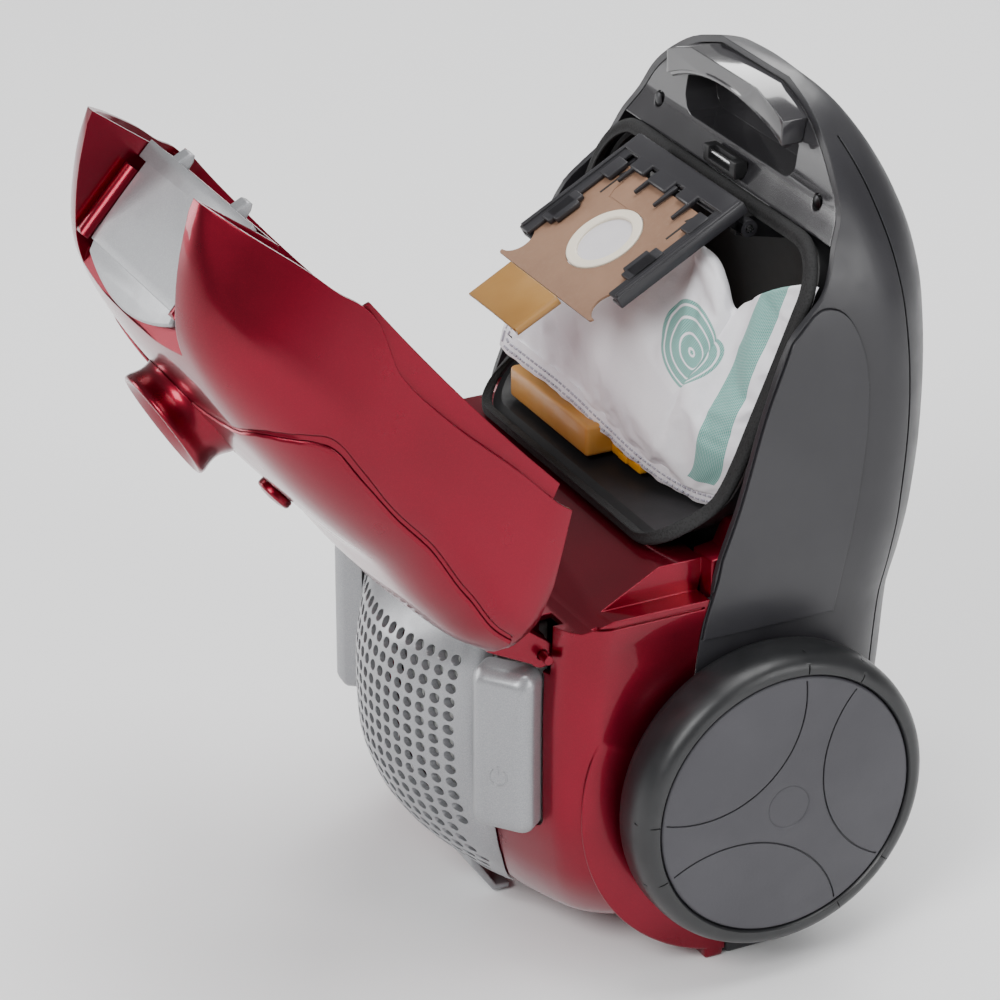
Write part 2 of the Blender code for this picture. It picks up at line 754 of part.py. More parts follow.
def dust_bag(frame):
    outline = [(-0.0260, 0.1470), (-0.0260, 0.1680), (0.0380, 0.2460), (0.0700, 0.2460), (0.0700, 0.1470)]
    bag = prism("bag", outline, -0.0720, 0.0950)
    bevel = bmesh.new()
    bevel.from_mesh(bag.data)
    bmesh.ops.bevel(bevel, geom=list(bevel.edges), offset=0.010, segments=3, profile=0.6, affect="EDGES")
    bevel.to_mesh(bag.data)
    bevel.free()
    return finish(bag, "dust_bag", "bag_fleece", frame)


def pre_motor_filter(frame):
    block = box("filter", (-0.0835, -0.0360, 0.1330), (0.0020, 0.0330, 0.1440))
    step = box("step", (-0.0100, -0.0220, 0.1335), (0.0320, 0.0325, 0.1390))
    return finish(join(block, step), "pre_motor_filter", "amber_plastic", frame)


# ---------------------------------------------------------------- bag holder


def bag_holder(frame):
    half = HOLDER_HALF_WIDTH
    inner = 0.0430
    top = HOLDER_TOP
    foot = HOLDER_TOP - HOLDER_LENGTH
    outline = [
        (-half, foot),
        (-inner, foot),
        (-inner, top - 0.0120),
        (inner, top - 0.0120),
        (inner, foot),
        (half, foot),
        (half, top),
        (-half, top),
    ]
    plate = prism("holder", outline, HOLDER_PLANE - 0.0032, HOLDER_PLANE + 0.0032, "y")
    slot_half = CARD_HALF_WIDTH + 0.0006
    slot = box(
        "slot",
        (-slot_half, HOLDER_PLANE - 0.0011, foot - 0.01),
        (slot_half, HOLDER_PLANE + 0.0011, top - 0.0030),
    )
    plate = cut(plate, slot)
    for side in (-1, 1):
        low, high = sorted((side * 0.0445, side * 0.0490))
        foot_y = HOLDER_PLANE + 0.0020
        arm = prism("arm", [(foot_y, 0.0030), (foot_y, -0.0100), (0.0, -0.0045)], low, high)
        ear = rod("ear", 0.0045, low, high, "x", (0.0, 0.0), 20)
        plate = join(plate, join(arm, ear))
        plate = cut(plate, rod("bore", 0.0021, low - 0.002, high + 0.002, "x", (0.0, 0.0), 12))
    return finish(plate, "bag_holder_frame", "dark_grey", frame)


def holder_pin(frame, side, name):
    low, high = sorted((side * 0.0375, side * 0.0500))
    pin = rod("pin", 0.0017, low, high, "x", tuple(HOLDER_PIVOT.yz), 16)
    return finish(pin, name, "steel", frame)


CARD_TOP = -0.0130
CARD_FOOT = -0.0910
CARD_HOLE_Z = -0.0530


def bag_card(frame):
    half = CARD_HALF_WIDTH
    card = box(
        "card",
        (-half, HOLDER_PLANE - CARD_THICKNESS / 2, CARD_FOOT),
        (half, HOLDER_PLANE + CARD_THICKNESS / 2, CARD_TOP),
    )
    low = HOLDER_PLANE - 0.01
    high = HOLDER_PLANE + 0.01
    card = cut(card, rod("hole", CARD_HOLE_RADIUS, low, high, "y", (0.0, CARD_HOLE_Z), 36))
    for side in (-1, 1):
        card = cut(card, rod("notch", 0.0095, low, high, "y", (side * half, -0.0795), 24))
    return finish(card, "bag_card", "kraft_card", frame)


def card_ring(frame):
    profile = (
        (0.0150, -0.0012),
        (CARD_HOLE_RADIUS - 0.0004, -0.0012),
        (CARD_HOLE_RADIUS - 0.0004, 0.0042),
        (0.0150, 0.0042),
    )
    ring = turned("ring", profile, 36)
    ring = move(ring, Matrix.Rotation(-math.pi / 2, 4, "X"))
    ring = move(ring, Matrix.Translation((0.0, HOLDER_PLANE, CARD_HOLE_Z)))
    return finish(ring, "card_ring", "cream_ring", frame)


def card_tab(frame):
    tab = box(
        "tab",
        (-0.0350, HOLDER_PLANE - 0.0010, CARD_FOOT - 0.0270),
        (0.0150, HOLDER_PLANE + 0.0010, CARD_FOOT - GAP),
        0.0006,
    )
    return finish(tab, "card_tab", "amber_plastic", frame)


# ---------------------------------------------------------------- lid


def below_rim(name, lift):
    """Everything on the body's side of the lid's rim, and of the red ridge behind the chamber."""
    outline = [(-0.0296 - lift, 0.05)]
    outline += shifted(SIDE_EDGE, -lift)
    outline += [(0.058 - lift, 0.50), (0.30, 0.50), (0.30, 0.05)]
    return prism(name, outline, -0.30, 0.30)


def ridge_space(name):
    """Room for the red ridge between the lid's side walls."""
    outline = [(-0.1070, 0.05), (-0.1070, 0.1040), (-0.0540, 0.1400), (0.10, 0.1400), (0.10, 0.05)]
    return prism(name, outline, -0.1115, 0.1115)


def rear_slant(name):
    """What the slanted rear ends of the lid's side walls leave free."""
    return prism(name, [(0.10, 0.1480), (-0.0810, 0.1070), (-0.0810, 0.05), (0.10, 0.05)], -0.30, 0.30)


def notch(name, grow):
    """The notch between the lid's two horns, which the release lever closes."""
    outline = []
    for y, z in NOTCH:
        outward_y = math.copysign(grow, y - NOTCH_MIDDLE[0])
        outward_z = math.copysign(grow, z - NOTCH_MIDDLE[1])
        outline.append((y + outward_y, z + outward_z))
    half = HORN_INNER_X + grow
    return prism(name, outline, -half, half)


def lip(side):
    """One side's inner lip, which locates the closed lid inside the body's wall, with its root."""
    low, high = sorted((side * 0.090, side * 0.140))
    outline = [(-0.0600, 0.1290), (-0.0600, 0.2360)] + list(reversed(LIP_EDGE))
    blade = keep(prism("lip", outline, low, high), dome("lip_outer", -0.0055))
    root_line = [(y, z) for y, z in SIDE_EDGE[1:5]]
    outline = shifted(root_line, -0.0030) + shifted(reversed(root_line), -0.0100)
    root = keep(prism("root", outline, low, high), dome("root_outer", -0.0020))
    return cut(join(blade, root), dome("lip_inner", -0.0073))


def port_matrix():
    """From a piece turned round Z to the hose port, whose axis leans out of the lid."""
    return Matrix.Translation(PORT_CENTRE) @ Matrix.Rotation(PORT_TILT, 4, "X")


def indicator_matrix():
    """From a piece turned round Z to the bag-full indicator, square to the lid."""
    return Matrix.Translation(INDICATOR_PLACE) @ Matrix.Rotation(INDICATOR_TILT, 4, "X")


def lid_shell(frame):
    shell = dome("lid")
    shell = cut(shell, notch("notch", 0.0))
    space = dome("space", -WALL, WALL)
    space = cut(space, notch("wall", 0.0025))
    shell = cut(shell, space)
    shell = cut(shell, below_rim("below", 0.0008))
    shell = cut(shell, ridge_space("ridge"))
    shell = cut(shell, rear_slant("slant"))
    for side in (-1, 1):
        shell = join(shell, lip(side))
    shell = cut(shell, move(rod("port", 0.0240, -0.06, 0.06, "z", (0.0, 0.0), 36), port_matrix()))
    shell = cut(shell, move(rod("window", 0.0084, -0.03, 0.03, "z", (0.0, 0.0), 24), indicator_matrix()))
    for side in (-1, 1):
        low, high = sorted((side * 0.0880, side * 0.0980))
        outline = [(-0.1150, 0.0850), (-0.1020, 0.0850), (-0.0960, 0.1130), (-0.1140, 0.1150)]
        arm = prism("arm", outline, low, high)
        ear = rod("ear", 0.0068, low, high, "x", (LID_HINGE.y, LID_HINGE.z), 20)
        shell = join(shell, join(arm, ear))
        shell = cut(shell, rod("bore", 0.0028, low - 0.002, high + 0.002, "x", tuple(LID_HINGE.yz), 16))
        low, high = sorted((side * 0.0500, side * 0.0660))
        shell = cut(shell, rod("pivot", 0.0026, low, high, "x", tuple(LEVER_PIVOT.yz), 16))
    return finish(shell, "lid_shell", "red_gloss", frame, LID_HINGE)


LID_PANEL_OUTLINE = (
    (0.0, 0.2190),
    (0.0260, 0.2230),
    (0.0520, 0.2260),
    (0.0640, 0.2200),
    (0.0760, 0.1960),
    (0.0880, 0.1620),
    (0.0960, 0.1300),
    (0.0980, 0.1200),
)


def lid_top_panel(frame):
    right = list(LID_PANEL_OUTLINE)
    left = [(-x, z) for x, z in reversed(right[1:])]
    panel = prism("panel", right + left, -0.20, -0.020, "y")
    panel = keep(panel, dome("outer", 0.0016))
    panel = cut(panel, dome("inner", GAP))
    panel = cut(panel, move(rod("window", 0.0100, -0.03, 0.05, "z", (0.0, 0.0), 24), indicator_matrix()))
    return finish(panel, "lid_top_panel", "red_gloss", frame, LID_HINGE)


def hose_port_ring(frame):
    profile = (
        (0.0205, -0.0100),
        (0.0236, -0.0100),
        (0.0236, -0.0055),
        (0.0262, -0.0030),
        (0.0290, 0.0045),
        (0.0290, 0.0070),
        (0.0265, 0.0080),
        (0.0225, 0.0050),
        (0.0205, 0.0020),
    )
    ring = move(turned("ring", profile, 32), port_matrix())
    ring = cut(ring, dome_skin())
    return finish(ring, "hose_port_ring", "red_gloss", frame, LID_HINGE)


def dome_skin():
    """The lid's wall with a small gap on both faces and the port's hole left open."""
    skin = dome("skin", GAP)
    skin = cut(skin, dome("core", -WALL - GAP))
    return cut(skin, move(rod("hole", 0.0238, -0.06, 0.06, "z", (0.0, 0.0), 36), port_matrix()))


def inlet_nozzle(frame):
    profile = (
        (0.0150, -0.0560),
        (0.0175, -0.0560),
        (0.0200, -0.0130),
        (0.0200, 0.0020),
        (0.0180, 0.0020),
        (0.0175, -0.0130),
    )
    nozzle = move(turned("nozzle", profile, 28), port_matrix())
    return finish(nozzle, "inlet_nozzle", "black_plastic", frame, LID_HINGE)


def bag_full_indicator(frame):
    stem = ((0.0, 0.0), (0.0080, 0.0), (0.0080, 0.0070))
    cap = ((0.0096, 0.0080), (0.0096, 0.0110), (0.0060, 0.0125), (0.0, 0.0130))
    knob = turned("knob", stem + cap, 24)
    knob = move(knob, indicator_matrix())
    return finish(knob, "bag_full_indicator", "red_gloss", frame, LID_HINGE)


def lever_bolt(frame, side, name):
    low, high = sorted((side * 0.0485, side * 0.0636))
    bolt = rod("bolt", 0.0022, low, high, "x", tuple(LEVER_PIVOT.yz), 16)
    return finish(bolt, name, "steel", frame, LID_HINGE)


def hinge_pin(frame, side, name):
    low, high = sorted((side * 0.0792, side * 0.1053))
    pin = rod("pin", 0.0024, low, high, "x", tuple(LID_HINGE.yz), 16)
    return finish(pin, name, "steel", frame)


def release_lever(frame):
    """The silver latch lever: a panel between the horns, a push plate in front and two hooks inside."""
    half = HORN_INNER_X - 0.0007
    outline = [(-0.0060, 0.3135), (-0.0068, 0.3107), (0.0440, 0.2952), (0.0460, 0.2980)]
    panel = prism("panel", outline, -half, half)
    across = (-0.050, -0.034, -0.017, 0.0, 0.017, 0.034, 0.050)
    crescent = [(x, -0.0225 + 0.0105 * (x / 0.050) ** 2) for x in across]
    push = prism("push", crescent + [(0.050, -0.0040), (-0.050, -0.0040)], 0.3096, 0.3132, "z")
    lever = join(panel, push)
    for side in (-1, 1):
        low, high = sorted((side * 0.0300, side * 0.0380))
        outline = [(0.0400, 0.2980), (0.0400, 0.2905), (0.0470, 0.2890), (0.0505, 0.2895), (0.0505, 0.2925)]
        lever = join(lever, prism("hook", outline + [(0.0440, 0.2975)], low, high))
        low, high = sorted((side * 0.0480, side * 0.0560))
        lever = join(lever, rod("ear", 0.0068, low, high, "x", tuple(LEVER_PIVOT.yz), 20))
        low, high = sorted((side * 0.0460, side * 0.0590))
        lever = cut(lever, rod("bore", 0.0026, low, high, "x", tuple(LEVER_PIVOT.yz), 16))
    return finish(lever, "release_lever", "silver_paint", frame, LEVER_PIVOT)


# ---------------------------------------------------------------- rear end


def grille_form(name, grow):
    """The closed outer form of the exhaust grille, grown by grow."""
    rings = []
    first = GRILLE[0][0]
    last = GRILLE[-1][0]
    centre = (first + last) / 2
    stretch = 1.0 + grow / ((first - last) / 2)
    for z, half, edge, middle in GRILLE:
        half += grow
        ring = []
        for i in range(13):
            x = -half + 2 * half * i / 12
            shoulder = 0.004 if i in (0, 12) else 0.0
            y = edge + (middle - edge) * (1 - (x / half) ** 2) - grow + shoulder
            ring.append((x, y, centre + (z - centre) * stretch))
        ring.append((half, GRILLE_BACK_Y, centre + (z - centre) * stretch))
        ring.append((-half, GRILLE_BACK_Y, centre + (z - centre) * stretch))
        rings.append(ring)
    return loft(name, rings)


def exhaust_grille(frame):
    grille = cut(grille_form("grille", 0.0), grille_form("space", -0.0025))
    grille = cut(grille, hull("body", 0.0005))
    grille = cut(grille, box("notch", (-0.0142, -0.14, -0.0900), (0.0142, -0.05, -0.0694)))
    return finish(grille, "exhaust_grille", "silver_paint", frame, GRILLE_HINGE)


def grille_clip(frame):
    outline = [(-0.1075, -0.0700), (-0.1045, -0.0800), (-0.0930, -0.0965), (-0.0840, -0.0965)]
    outline += [(-0.0840, -0.0935), (-0.0915, -0.0930), (-0.1005, -0.0790), (-0.1035, -0.0700)]
    clip = prism("clip", outline, -0.0130, 0.0130)
    return finish(clip, "grille_clip", "silver_paint", frame, CLIP_PIVOT)


def hepa_filter(frame):
    """A pleated exhaust filter in its frame."""
    filter_box = box("filter", (-0.0535, -0.1105, -0.0415), (0.0535, -0.0830, 0.0765), 0.001)
    for i in range(12):
        middle = -0.0462 + 0.0084 * i
        outline = [(middle - 0.0030, -0.1150), (middle + 0.0030, -0.1150), (middle, -0.0930)]
        filter_box = cut(filter_box, prism("pleat", outline, -0.0375, 0.0725, "z"))
    return finish(filter_box, "hepa_filter", "filter_paper", frame)


def pedal_block(name, side, grow, depth):
    """A pedal's rounded plate, grown all round by grow and deepened inwards by depth."""
    size = PEDAL_SIZE / 2
    block = box(
        name,
        (-size.x - grow, -size.y - grow, -size.z - grow),
        (size.x + grow, size.y + depth, size.z + grow),
        0.004 if grow == 0.0 else 0.0,
    )
    turn = Matrix.Rotation(side * PEDAL_TURN, 4, "Z")
    place = Matrix.Translation((side * PEDAL_CENTRE.x, PEDAL_CENTRE.y, PEDAL_CENTRE.z))
    return move(block, place @ turn)


def pedal(frame, side, name):
    block = pedal_block("pedal", side, 0.0, 0.0)
    centre = (side * PEDAL_CENTRE.x, PEDAL_CENTRE.y, PEDAL_CENTRE.z)
    return finish(block, name, "silver_paint", frame, centre)


def pedal_spring(frame, side, name):
    """A short coil spring behind a pedal, drawn at its pressed length."""
    turns = 3
    per_turn = 8
    length = 0.009
    start = PEDAL_SIZE.y / 2 + PEDAL_TRAVEL + 0.0015
    route = []
    for i in range(turns * per_turn + 1):
        angle = 2 * math.pi * i / per_turn
        height = start + length * i / (turns * per_turn)
        route.append((0.005 * math.cos(angle), height, 0.005 * math.sin(angle)))
    coil = tube("coil", route, 0.0005, sides=1)
    turn = Matrix.Rotation(side * PEDAL_TURN, 4, "Z")
    place = Matrix.Translation((side * PEDAL_CENTRE.x, PEDAL_CENTRE.y, PEDAL_CENTRE.z))
    return finish(move(coil, place @ turn), name, "steel", frame)


def cord_outlet(frame):
    stem = ((0.0045, -0.004), (0.0062, -0.004), (0.0062, 0.006))
    flange = ((0.0085, 0.006), (0.0085, 0.009), (0.0045, 0.009))
    gland = turned("gland", stem + flange, 24)
    gland = move(gland, Matrix.Rotation(math.pi / 2, 4, "X"))
    gland = move(gland, Matrix.Translation((-0.0940, -0.1010, -0.0440)))
    return finish(gland, "cord_outlet", "black_plastic", frame)


# ---------------------------------------------------------------- inside the rear shell


def motor_housing(frame):
    profile = (
        (0.0120, 0.0080),
        (0.0480, 0.0080),
        (0.0480, 0.1100),
        (0.0220, 0.1100),
        (0.0220, 0.1070),
        (0.0450, 0.1070),
        (0.0450, 0.0110),
        (0.0120, 0.0110),
    )
    housing = turned("housing", profile, 32)
    housing = move(housing, Matrix.Translation((MOTOR_X, MOTOR_Y, 0.0)))
    for z in (0.030, 0.050):
        vent = box("vent", (MOTOR_X - 0.03, MOTOR_Y - 0.06, z), (MOTOR_X + 0.03, MOTOR_Y, z + 0.010))
        housing = cut(housing, vent)
    return finish(housing, "motor_housing", "black_plastic", frame)


def motor_core(frame):
    profile = ((0.0060, 0.0150), (0.0350, 0.0150), (0.0350, 0.0780), (0.0060, 0.0780))
    core = turned("core", profile, 24)
    core = move(core, Matrix.Translation((MOTOR_X, MOTOR_Y, 0.0)))
    return finish(core, "motor_core", "copper_core", frame)


def motor_rotor(frame):
    profile = ((0.0, 0.0130), (0.0050, 0.0130), (0.0050, 0.0830), (0.0400, 0.0850), (0.0400, 0.0870))
    profile += ((0.0100, 0.0880), (0.0080, 0.1040), (0.0, 0.1050))
    rotor = turned("rotor", profile, 24)
    for i in range(7):
        blade = box("blade", (0.0080, -0.0008, 0.0860), (0.0390, 0.0008, 0.0990))
        blade = move(blade, Matrix.Rotation(2 * math.pi * i / 7, 4, "Z"))
        rotor = join(rotor, blade)
    return finish(rotor, "motor_impeller", "aluminium", frame)


def cord_reel(frame):
    profile = ((0.0070, -0.0210), (0.0560, -0.0210), (0.0560, -0.0185), (0.0300, -0.0185), (0.0300, 0.0185))
    profile += ((0.0560, 0.0185), (0.0560, 0.0210), (0.0070, 0.0210))
    drum = lay_along_x(turned("drum", profile, 32), 1)
    return finish(drum, "cord_reel_drum", "black_plastic", frame)


def reel_spindle(frame):
    spindle = rod("spindle", 0.0062, -0.0985, -0.0480, "x", tuple(REEL_CENTRE.yz), 24)
    return finish(spindle, "reel_spindle", "steel", frame)


# ---------------------------------------------------------------- wheels


def tyre(frame, side, name):
    inner = DISC_RADIUS + GAP
    width = WHEEL_OUTER_X - WHEEL_INNER_X
    profile = (
        (inner, 0.0),
        (TYRE_RADIUS - 0.006, 0.0),
        (TYRE_RADIUS - 0.002, 0.002),
        (TYRE_RADIUS, 0.007),
        (TYRE_RADIUS, width - 0.010),
        (TYRE_RADIUS - 0.0018, width - 0.0045),
        (TYRE_RADIUS - 0.0050, width - 0.0012),
        (inner + 0.003, width),
        (inner, width - 0.001),
    )
    ring = move(turned("tyre", profile, 36), Matrix.Translation((0, 0, WHEEL_INNER_X)))
    return finish(lay_along_x(ring, side), name, "tyre_rubber", frame)


def wheel_disc(frame, side, name):
    bore = AXLE_RADIUS + GAP
    profile = (
        (0.0, 0.1500),
        (0.0300, 0.1492),
        (DISC_RADIUS - 0.0025, 0.1474),
        (DISC_RADIUS, 0.1462),
        (DISC_RADIUS, 0.1220),
        (0.0640, 0.1230),
        (0.0600, 0.1330),
        (0.0180, 0.1330),
        (0.0160, 0.1195),
        (0.0120, 0.1195),
        (bore, 0.1205),
        (bore, 0.1442),
        (0.0, 0.1446),
    )
    disc = turned("disc", profile, 36)
    return finish(lay_along_x(disc, side), name, "wheel_grey", frame)


def wheel_axle(frame, side, name):
    flange = ((0.0, 0.1030), (0.0120, 0.1030), (0.0120, 0.1115))
    shaft = ((AXLE_RADIUS, 0.1115), (AXLE_RADIUS, 0.1438), (0.0, 0.1438))
    stub = turned("stub", flange + shaft, 24)
    return finish(lay_along_x(stub, side), name, "steel", frame)


def caster_fork(frame):
    pivot = Vector((0.0, 0.0, CASTER_SWIVEL_Z))
    plate = rod("plate", 0.0190, 0.0835, 0.0870, "y", (0.0, CASTER_SWIVEL_Z), 24)
    fork = join(plate, rod("post", 0.0044, 0.0760, 0.0850, "y", (0.0, CASTER_SWIVEL_Z), 16))
    for side in (-1, 1):
        low, high = sorted((side * 0.0085, side * 0.0115))
        outline = [(0.0850, 0.2960), (0.0850, 0.2670), (0.1030, 0.2690), (0.1050, 0.2755), (0.1030, 0.2820)]
        fork = join(fork, prism("cheek", outline, low, high))
        fork = cut(fork, rod("bore", 0.0021, low - 0.001, high + 0.001, "x", tuple(CASTER_CENTRE.yz), 12))
    return finish(fork, "caster_fork", "black_plastic", frame, pivot)


def caster_wheel(frame):
    profile = ((0.0025, -0.0078), (0.0100, -0.0078), (0.0120, -0.0060), (0.0120, 0.0060))
    profile += ((0.0100, 0.0078), (0.0025, 0.0078))
    wheel = lay_along_x(turned("roller", profile, 24), 1)
    return finish(wheel, "caster_wheel", "wheel_grey", frame)


def caster_axle(frame):
    pin = rod("pin", 0.0018, -0.0125, 0.0125, "x", tuple(CASTER_CENTRE.yz), 12)
    return finish(pin, "caster_axle", "steel", frame, Vector((0.0, 0.0, CASTER_SWIVEL_Z)))


# ---------------------------------------------------------------- assembly


def build_body(frame):
    rear_shell(frame)
    lower_chassis(frame)
    side_panel(frame, -1, "side_panel_left")
    side_panel(frame, 1, "side_panel_right")
    front_deck(frame)
    carry_handle(frame)
    deck_screw(frame, SCREW_PLACES[0], "deck_screw_left")
    deck_screw(frame, SCREW_PLACES[1], "deck_screw_right")
    latch_keeper(frame)
    chamber_liner(frame)
    chamber_seal(frame)
    dust_bag(frame)
    pre_motor_filter(frame)
    hepa_filter(frame)
    cord_outlet(frame)
    motor_housing(frame)
    motor_core(frame)
    reel_spindle(frame)
    for side, word in ((-1, "left"), (1, "right")):
        holder_pin(frame, side, "holder_pin_" + word)
        hinge_pin(frame, side, "lid_hinge_pin_" + word)
        pedal_spring(frame, side, "pedal_spring_" + word)
        wheel_axle(frame, side, "wheel_axle_" + word)


def build_lid(frame):
    axis = empty("lid_axis", LID_HINGE, frame, LID_OPEN_ANGLE)
    lid_shell(axis)
    lid_top_panel(axis)
    hose_port_ring(axis)
    inlet_nozzle(axis)
    bag_full_indicator(axis)
    lever_bolt(axis, -1, "lever_bolt_left")
    lever_bolt(axis, 1, "lever_bolt_right")
    release_lever(empty("lever_axis", LEVER_PIVOT - LID_HINGE, axis))


def build_holder(frame):
    axis = empty("holder_axis", HOLDER_PIVOT, frame, HOLDER_REST_ANGLE)
    bag_holder(axis)
    bag_card(axis)
    card_ring(axis)
    card_tab(axis)


def build_rear(frame):
    grille_axis = empty("grille_axis", GRILLE_HINGE, frame)
    exhaust_grille(grille_axis)
    grille_clip(empty("clip_axis", CLIP_PIVOT - GRILLE_HINGE, grille_axis))
    for side, name in ((1, "power_pedal"), (-1, "cord_rewind_pedal")):
        place = (side * PEDAL_CENTRE.x, PEDAL_CENTRE.y, PEDAL_CENTRE.z)
        pedal(empty(name + "_axis", place, frame), side, name)


def build_turning(frame):
    for side, word in ((-1, "left"), (1, "right")):
        axis = empty("wheel_axis_" + word, (0, 0, 0), frame)
        tyre(axis, side, "tyre_" + word)
        wheel_disc(axis, side, "wheel_disc_" + word)
    swivel = empty("caster_axis", (0.0, 0.0, CASTER_SWIVEL_Z), frame)
    caster_fork(swivel)
    caster_axle(swivel)
    caster_wheel(empty("caster_wheel_axis", CASTER_CENTRE - Vector((0.0, 0.0, CASTER_SWIVEL_Z)), swivel))
    motor_rotor(empty("motor_axis", (MOTOR_X, MOTOR_Y, 0.0), frame))
    cord_reel(empty("reel_axis", REEL_CENTRE, frame))


def main():
    global PARTS, HELPERS
    clear_scene()
    PARTS = make_collection("canister_vacuum")
    HELPERS = make_collection("helpers")
    frame = empty("machine_frame", (0.0, DEPTH_SHIFT, FLOOR_BELOW_AXLE))
    build_body(frame)
    build_lid(frame)
    build_holder(frame)
    build_rear(frame)
    build_turning(frame)


main()
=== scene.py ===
"""The looks of a bagged canister vacuum cleaner, parked upright with its lid open.

Every piece is built in the machine frame, whose origin is the middle of the wheel axle: +X is the
machine's right side, +Y its underside and +Z its front.  place() then moves it to the row frame.
"""

import json
import math

import bmesh
import bpy
import numpy as np
from mathutils import Matrix, Vector
from mathutils.bvhtree import BVHTree


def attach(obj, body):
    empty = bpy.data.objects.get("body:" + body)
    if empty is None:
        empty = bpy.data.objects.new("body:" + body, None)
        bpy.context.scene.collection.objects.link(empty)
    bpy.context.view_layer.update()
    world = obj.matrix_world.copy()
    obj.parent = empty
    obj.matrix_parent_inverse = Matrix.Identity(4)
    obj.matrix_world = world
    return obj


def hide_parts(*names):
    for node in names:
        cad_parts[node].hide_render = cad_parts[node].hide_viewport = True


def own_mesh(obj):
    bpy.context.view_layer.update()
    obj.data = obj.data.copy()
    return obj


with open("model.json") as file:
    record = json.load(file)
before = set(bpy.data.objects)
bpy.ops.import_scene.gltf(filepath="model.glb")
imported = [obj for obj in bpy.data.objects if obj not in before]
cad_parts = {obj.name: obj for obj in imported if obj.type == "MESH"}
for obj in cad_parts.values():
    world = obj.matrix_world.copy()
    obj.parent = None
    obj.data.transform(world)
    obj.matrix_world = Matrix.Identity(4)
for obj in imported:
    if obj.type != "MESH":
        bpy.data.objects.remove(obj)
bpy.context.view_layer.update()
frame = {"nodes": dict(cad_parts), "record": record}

TO_ROW = Matrix.Translation((0.0, 0.08313, 0.099))
LID_HINGE = Vector((0.0, -0.109, 0.085))
LID_MATRIX = TO_ROW @ Matrix.Translation(LID_HINGE) @ Matrix.Rotation(math.radians(65.0), 4, "X")
LID_MATRIX = LID_MATRIX @ Matrix.Translation(-LID_HINGE)
HOLDER_PIVOT = Vector((0.0, 0.027, 0.262))
HOLDER_MATRIX = TO_ROW @ Matrix.Translation(HOLDER_PIVOT) @ Matrix.Rotation(math.radians(-61.0), 4, "X")
PORT_MATRIX = Matrix.Translation((0.0, -0.066, 0.265)) @ Matrix.Rotation(math.radians(55.0), 4, "X")
KNOB_MATRIX = Matrix.Translation((0.0120, -0.0790, 0.2015)) @ Matrix.Rotation(math.radians(66.0), 4, "X")

# ---------------------------------------------------------------- camera and light

CAMERA_AZIMUTH = math.radians(63.6)
CAMERA_ELEVATION = math.radians(25.8)
CAMERA_PLACE = (1.66673, -0.82718, 1.11770)


def add_camera():
    azimuth, level = CAMERA_AZIMUTH, math.cos(CAMERA_ELEVATION)
    back = Vector((math.sin(azimuth) * level, -math.cos(azimuth) * level, math.sin(CAMERA_ELEVATION)))
    right = Vector((math.cos(azimuth), math.sin(azimuth), 0.0))
    up = back.cross(right)
    data = bpy.data.cameras.new("camera")
    data.lens = 150.0
    data.sensor_width = 36.0
    data.clip_end = 30.0
    camera = bpy.data.objects.new("camera", data)
    bpy.context.scene.collection.objects.link(camera)
    turn = Matrix((right, up, back)).transposed().to_4x4()
    camera.matrix_world = Matrix.Translation(CAMERA_PLACE) @ turn
    bpy.context.scene.camera = camera


def add_light(name, place, target, size, power):
    data = bpy.data.lights.new(name, "AREA")
    data.shape = "RECTANGLE"
    data.size, data.size_y = size
    data.energy = power
    lamp = bpy.data.objects.new(name, data)
    bpy.context.scene.collection.objects.link(lamp)
    lamp.location = place
    lamp.rotation_euler = (Vector(target) - Vector(place)).to_track_quat("-Z", "Y").to_euler()


def add_studio():
    world = bpy.data.worlds.new("studio")
    bpy.context.scene.world = world
    world.use_nodes = True
    sky = world.node_tree.nodes["Background"]
    sky.inputs["Color"].default_value = (1.0, 1.0, 1.0, 1.0)
    sky.inputs["Strength"].default_value = 0.30
    bm = bmesh.new()
    bmesh.ops.create_circle(bm, cap_ends=True, segments=64, radius=12.0)
    mesh = bpy.data.meshes.new("floor")
    bm.to_mesh(mesh)
    bm.free()
    floor = bpy.data.objects.new("floor", mesh)
    bpy.context.scene.collection.objects.link(floor)
    paint = bpy.data.materials.new("floor_paint")
    paint.use_nodes = True
    shader = paint.node_tree.nodes["Principled BSDF"]
    shader.inputs["Base Color"].default_value = (0.92, 0.92, 0.925, 1.0)
    shader.inputs["Roughness"].default_value = 0.9
    shader.inputs["Specular IOR Level"].default_value = 0.1
    mesh.materials.append(paint)
    middle = (0.0, 0.0, 0.22)
    add_light("key", (1.5, -2.2, 2.3), middle, (1.3, 1.3), 80.0)
    add_light("top", (0.1, 0.3, 2.6), middle, (1.8, 1.2), 50.0)
    add_light("side", (2.6, 1.3, 1.2), middle, (0.7, 1.8), 36.0)
    add_light("back", (-1.8, 1.6, 1.9), middle, (1.2, 1.6), 40.0)
    add_light("left", (-1.9, -1.9, 0.9), middle, (0.8, 1.6), 34.0)


# ---------------------------------------------------------------- materials


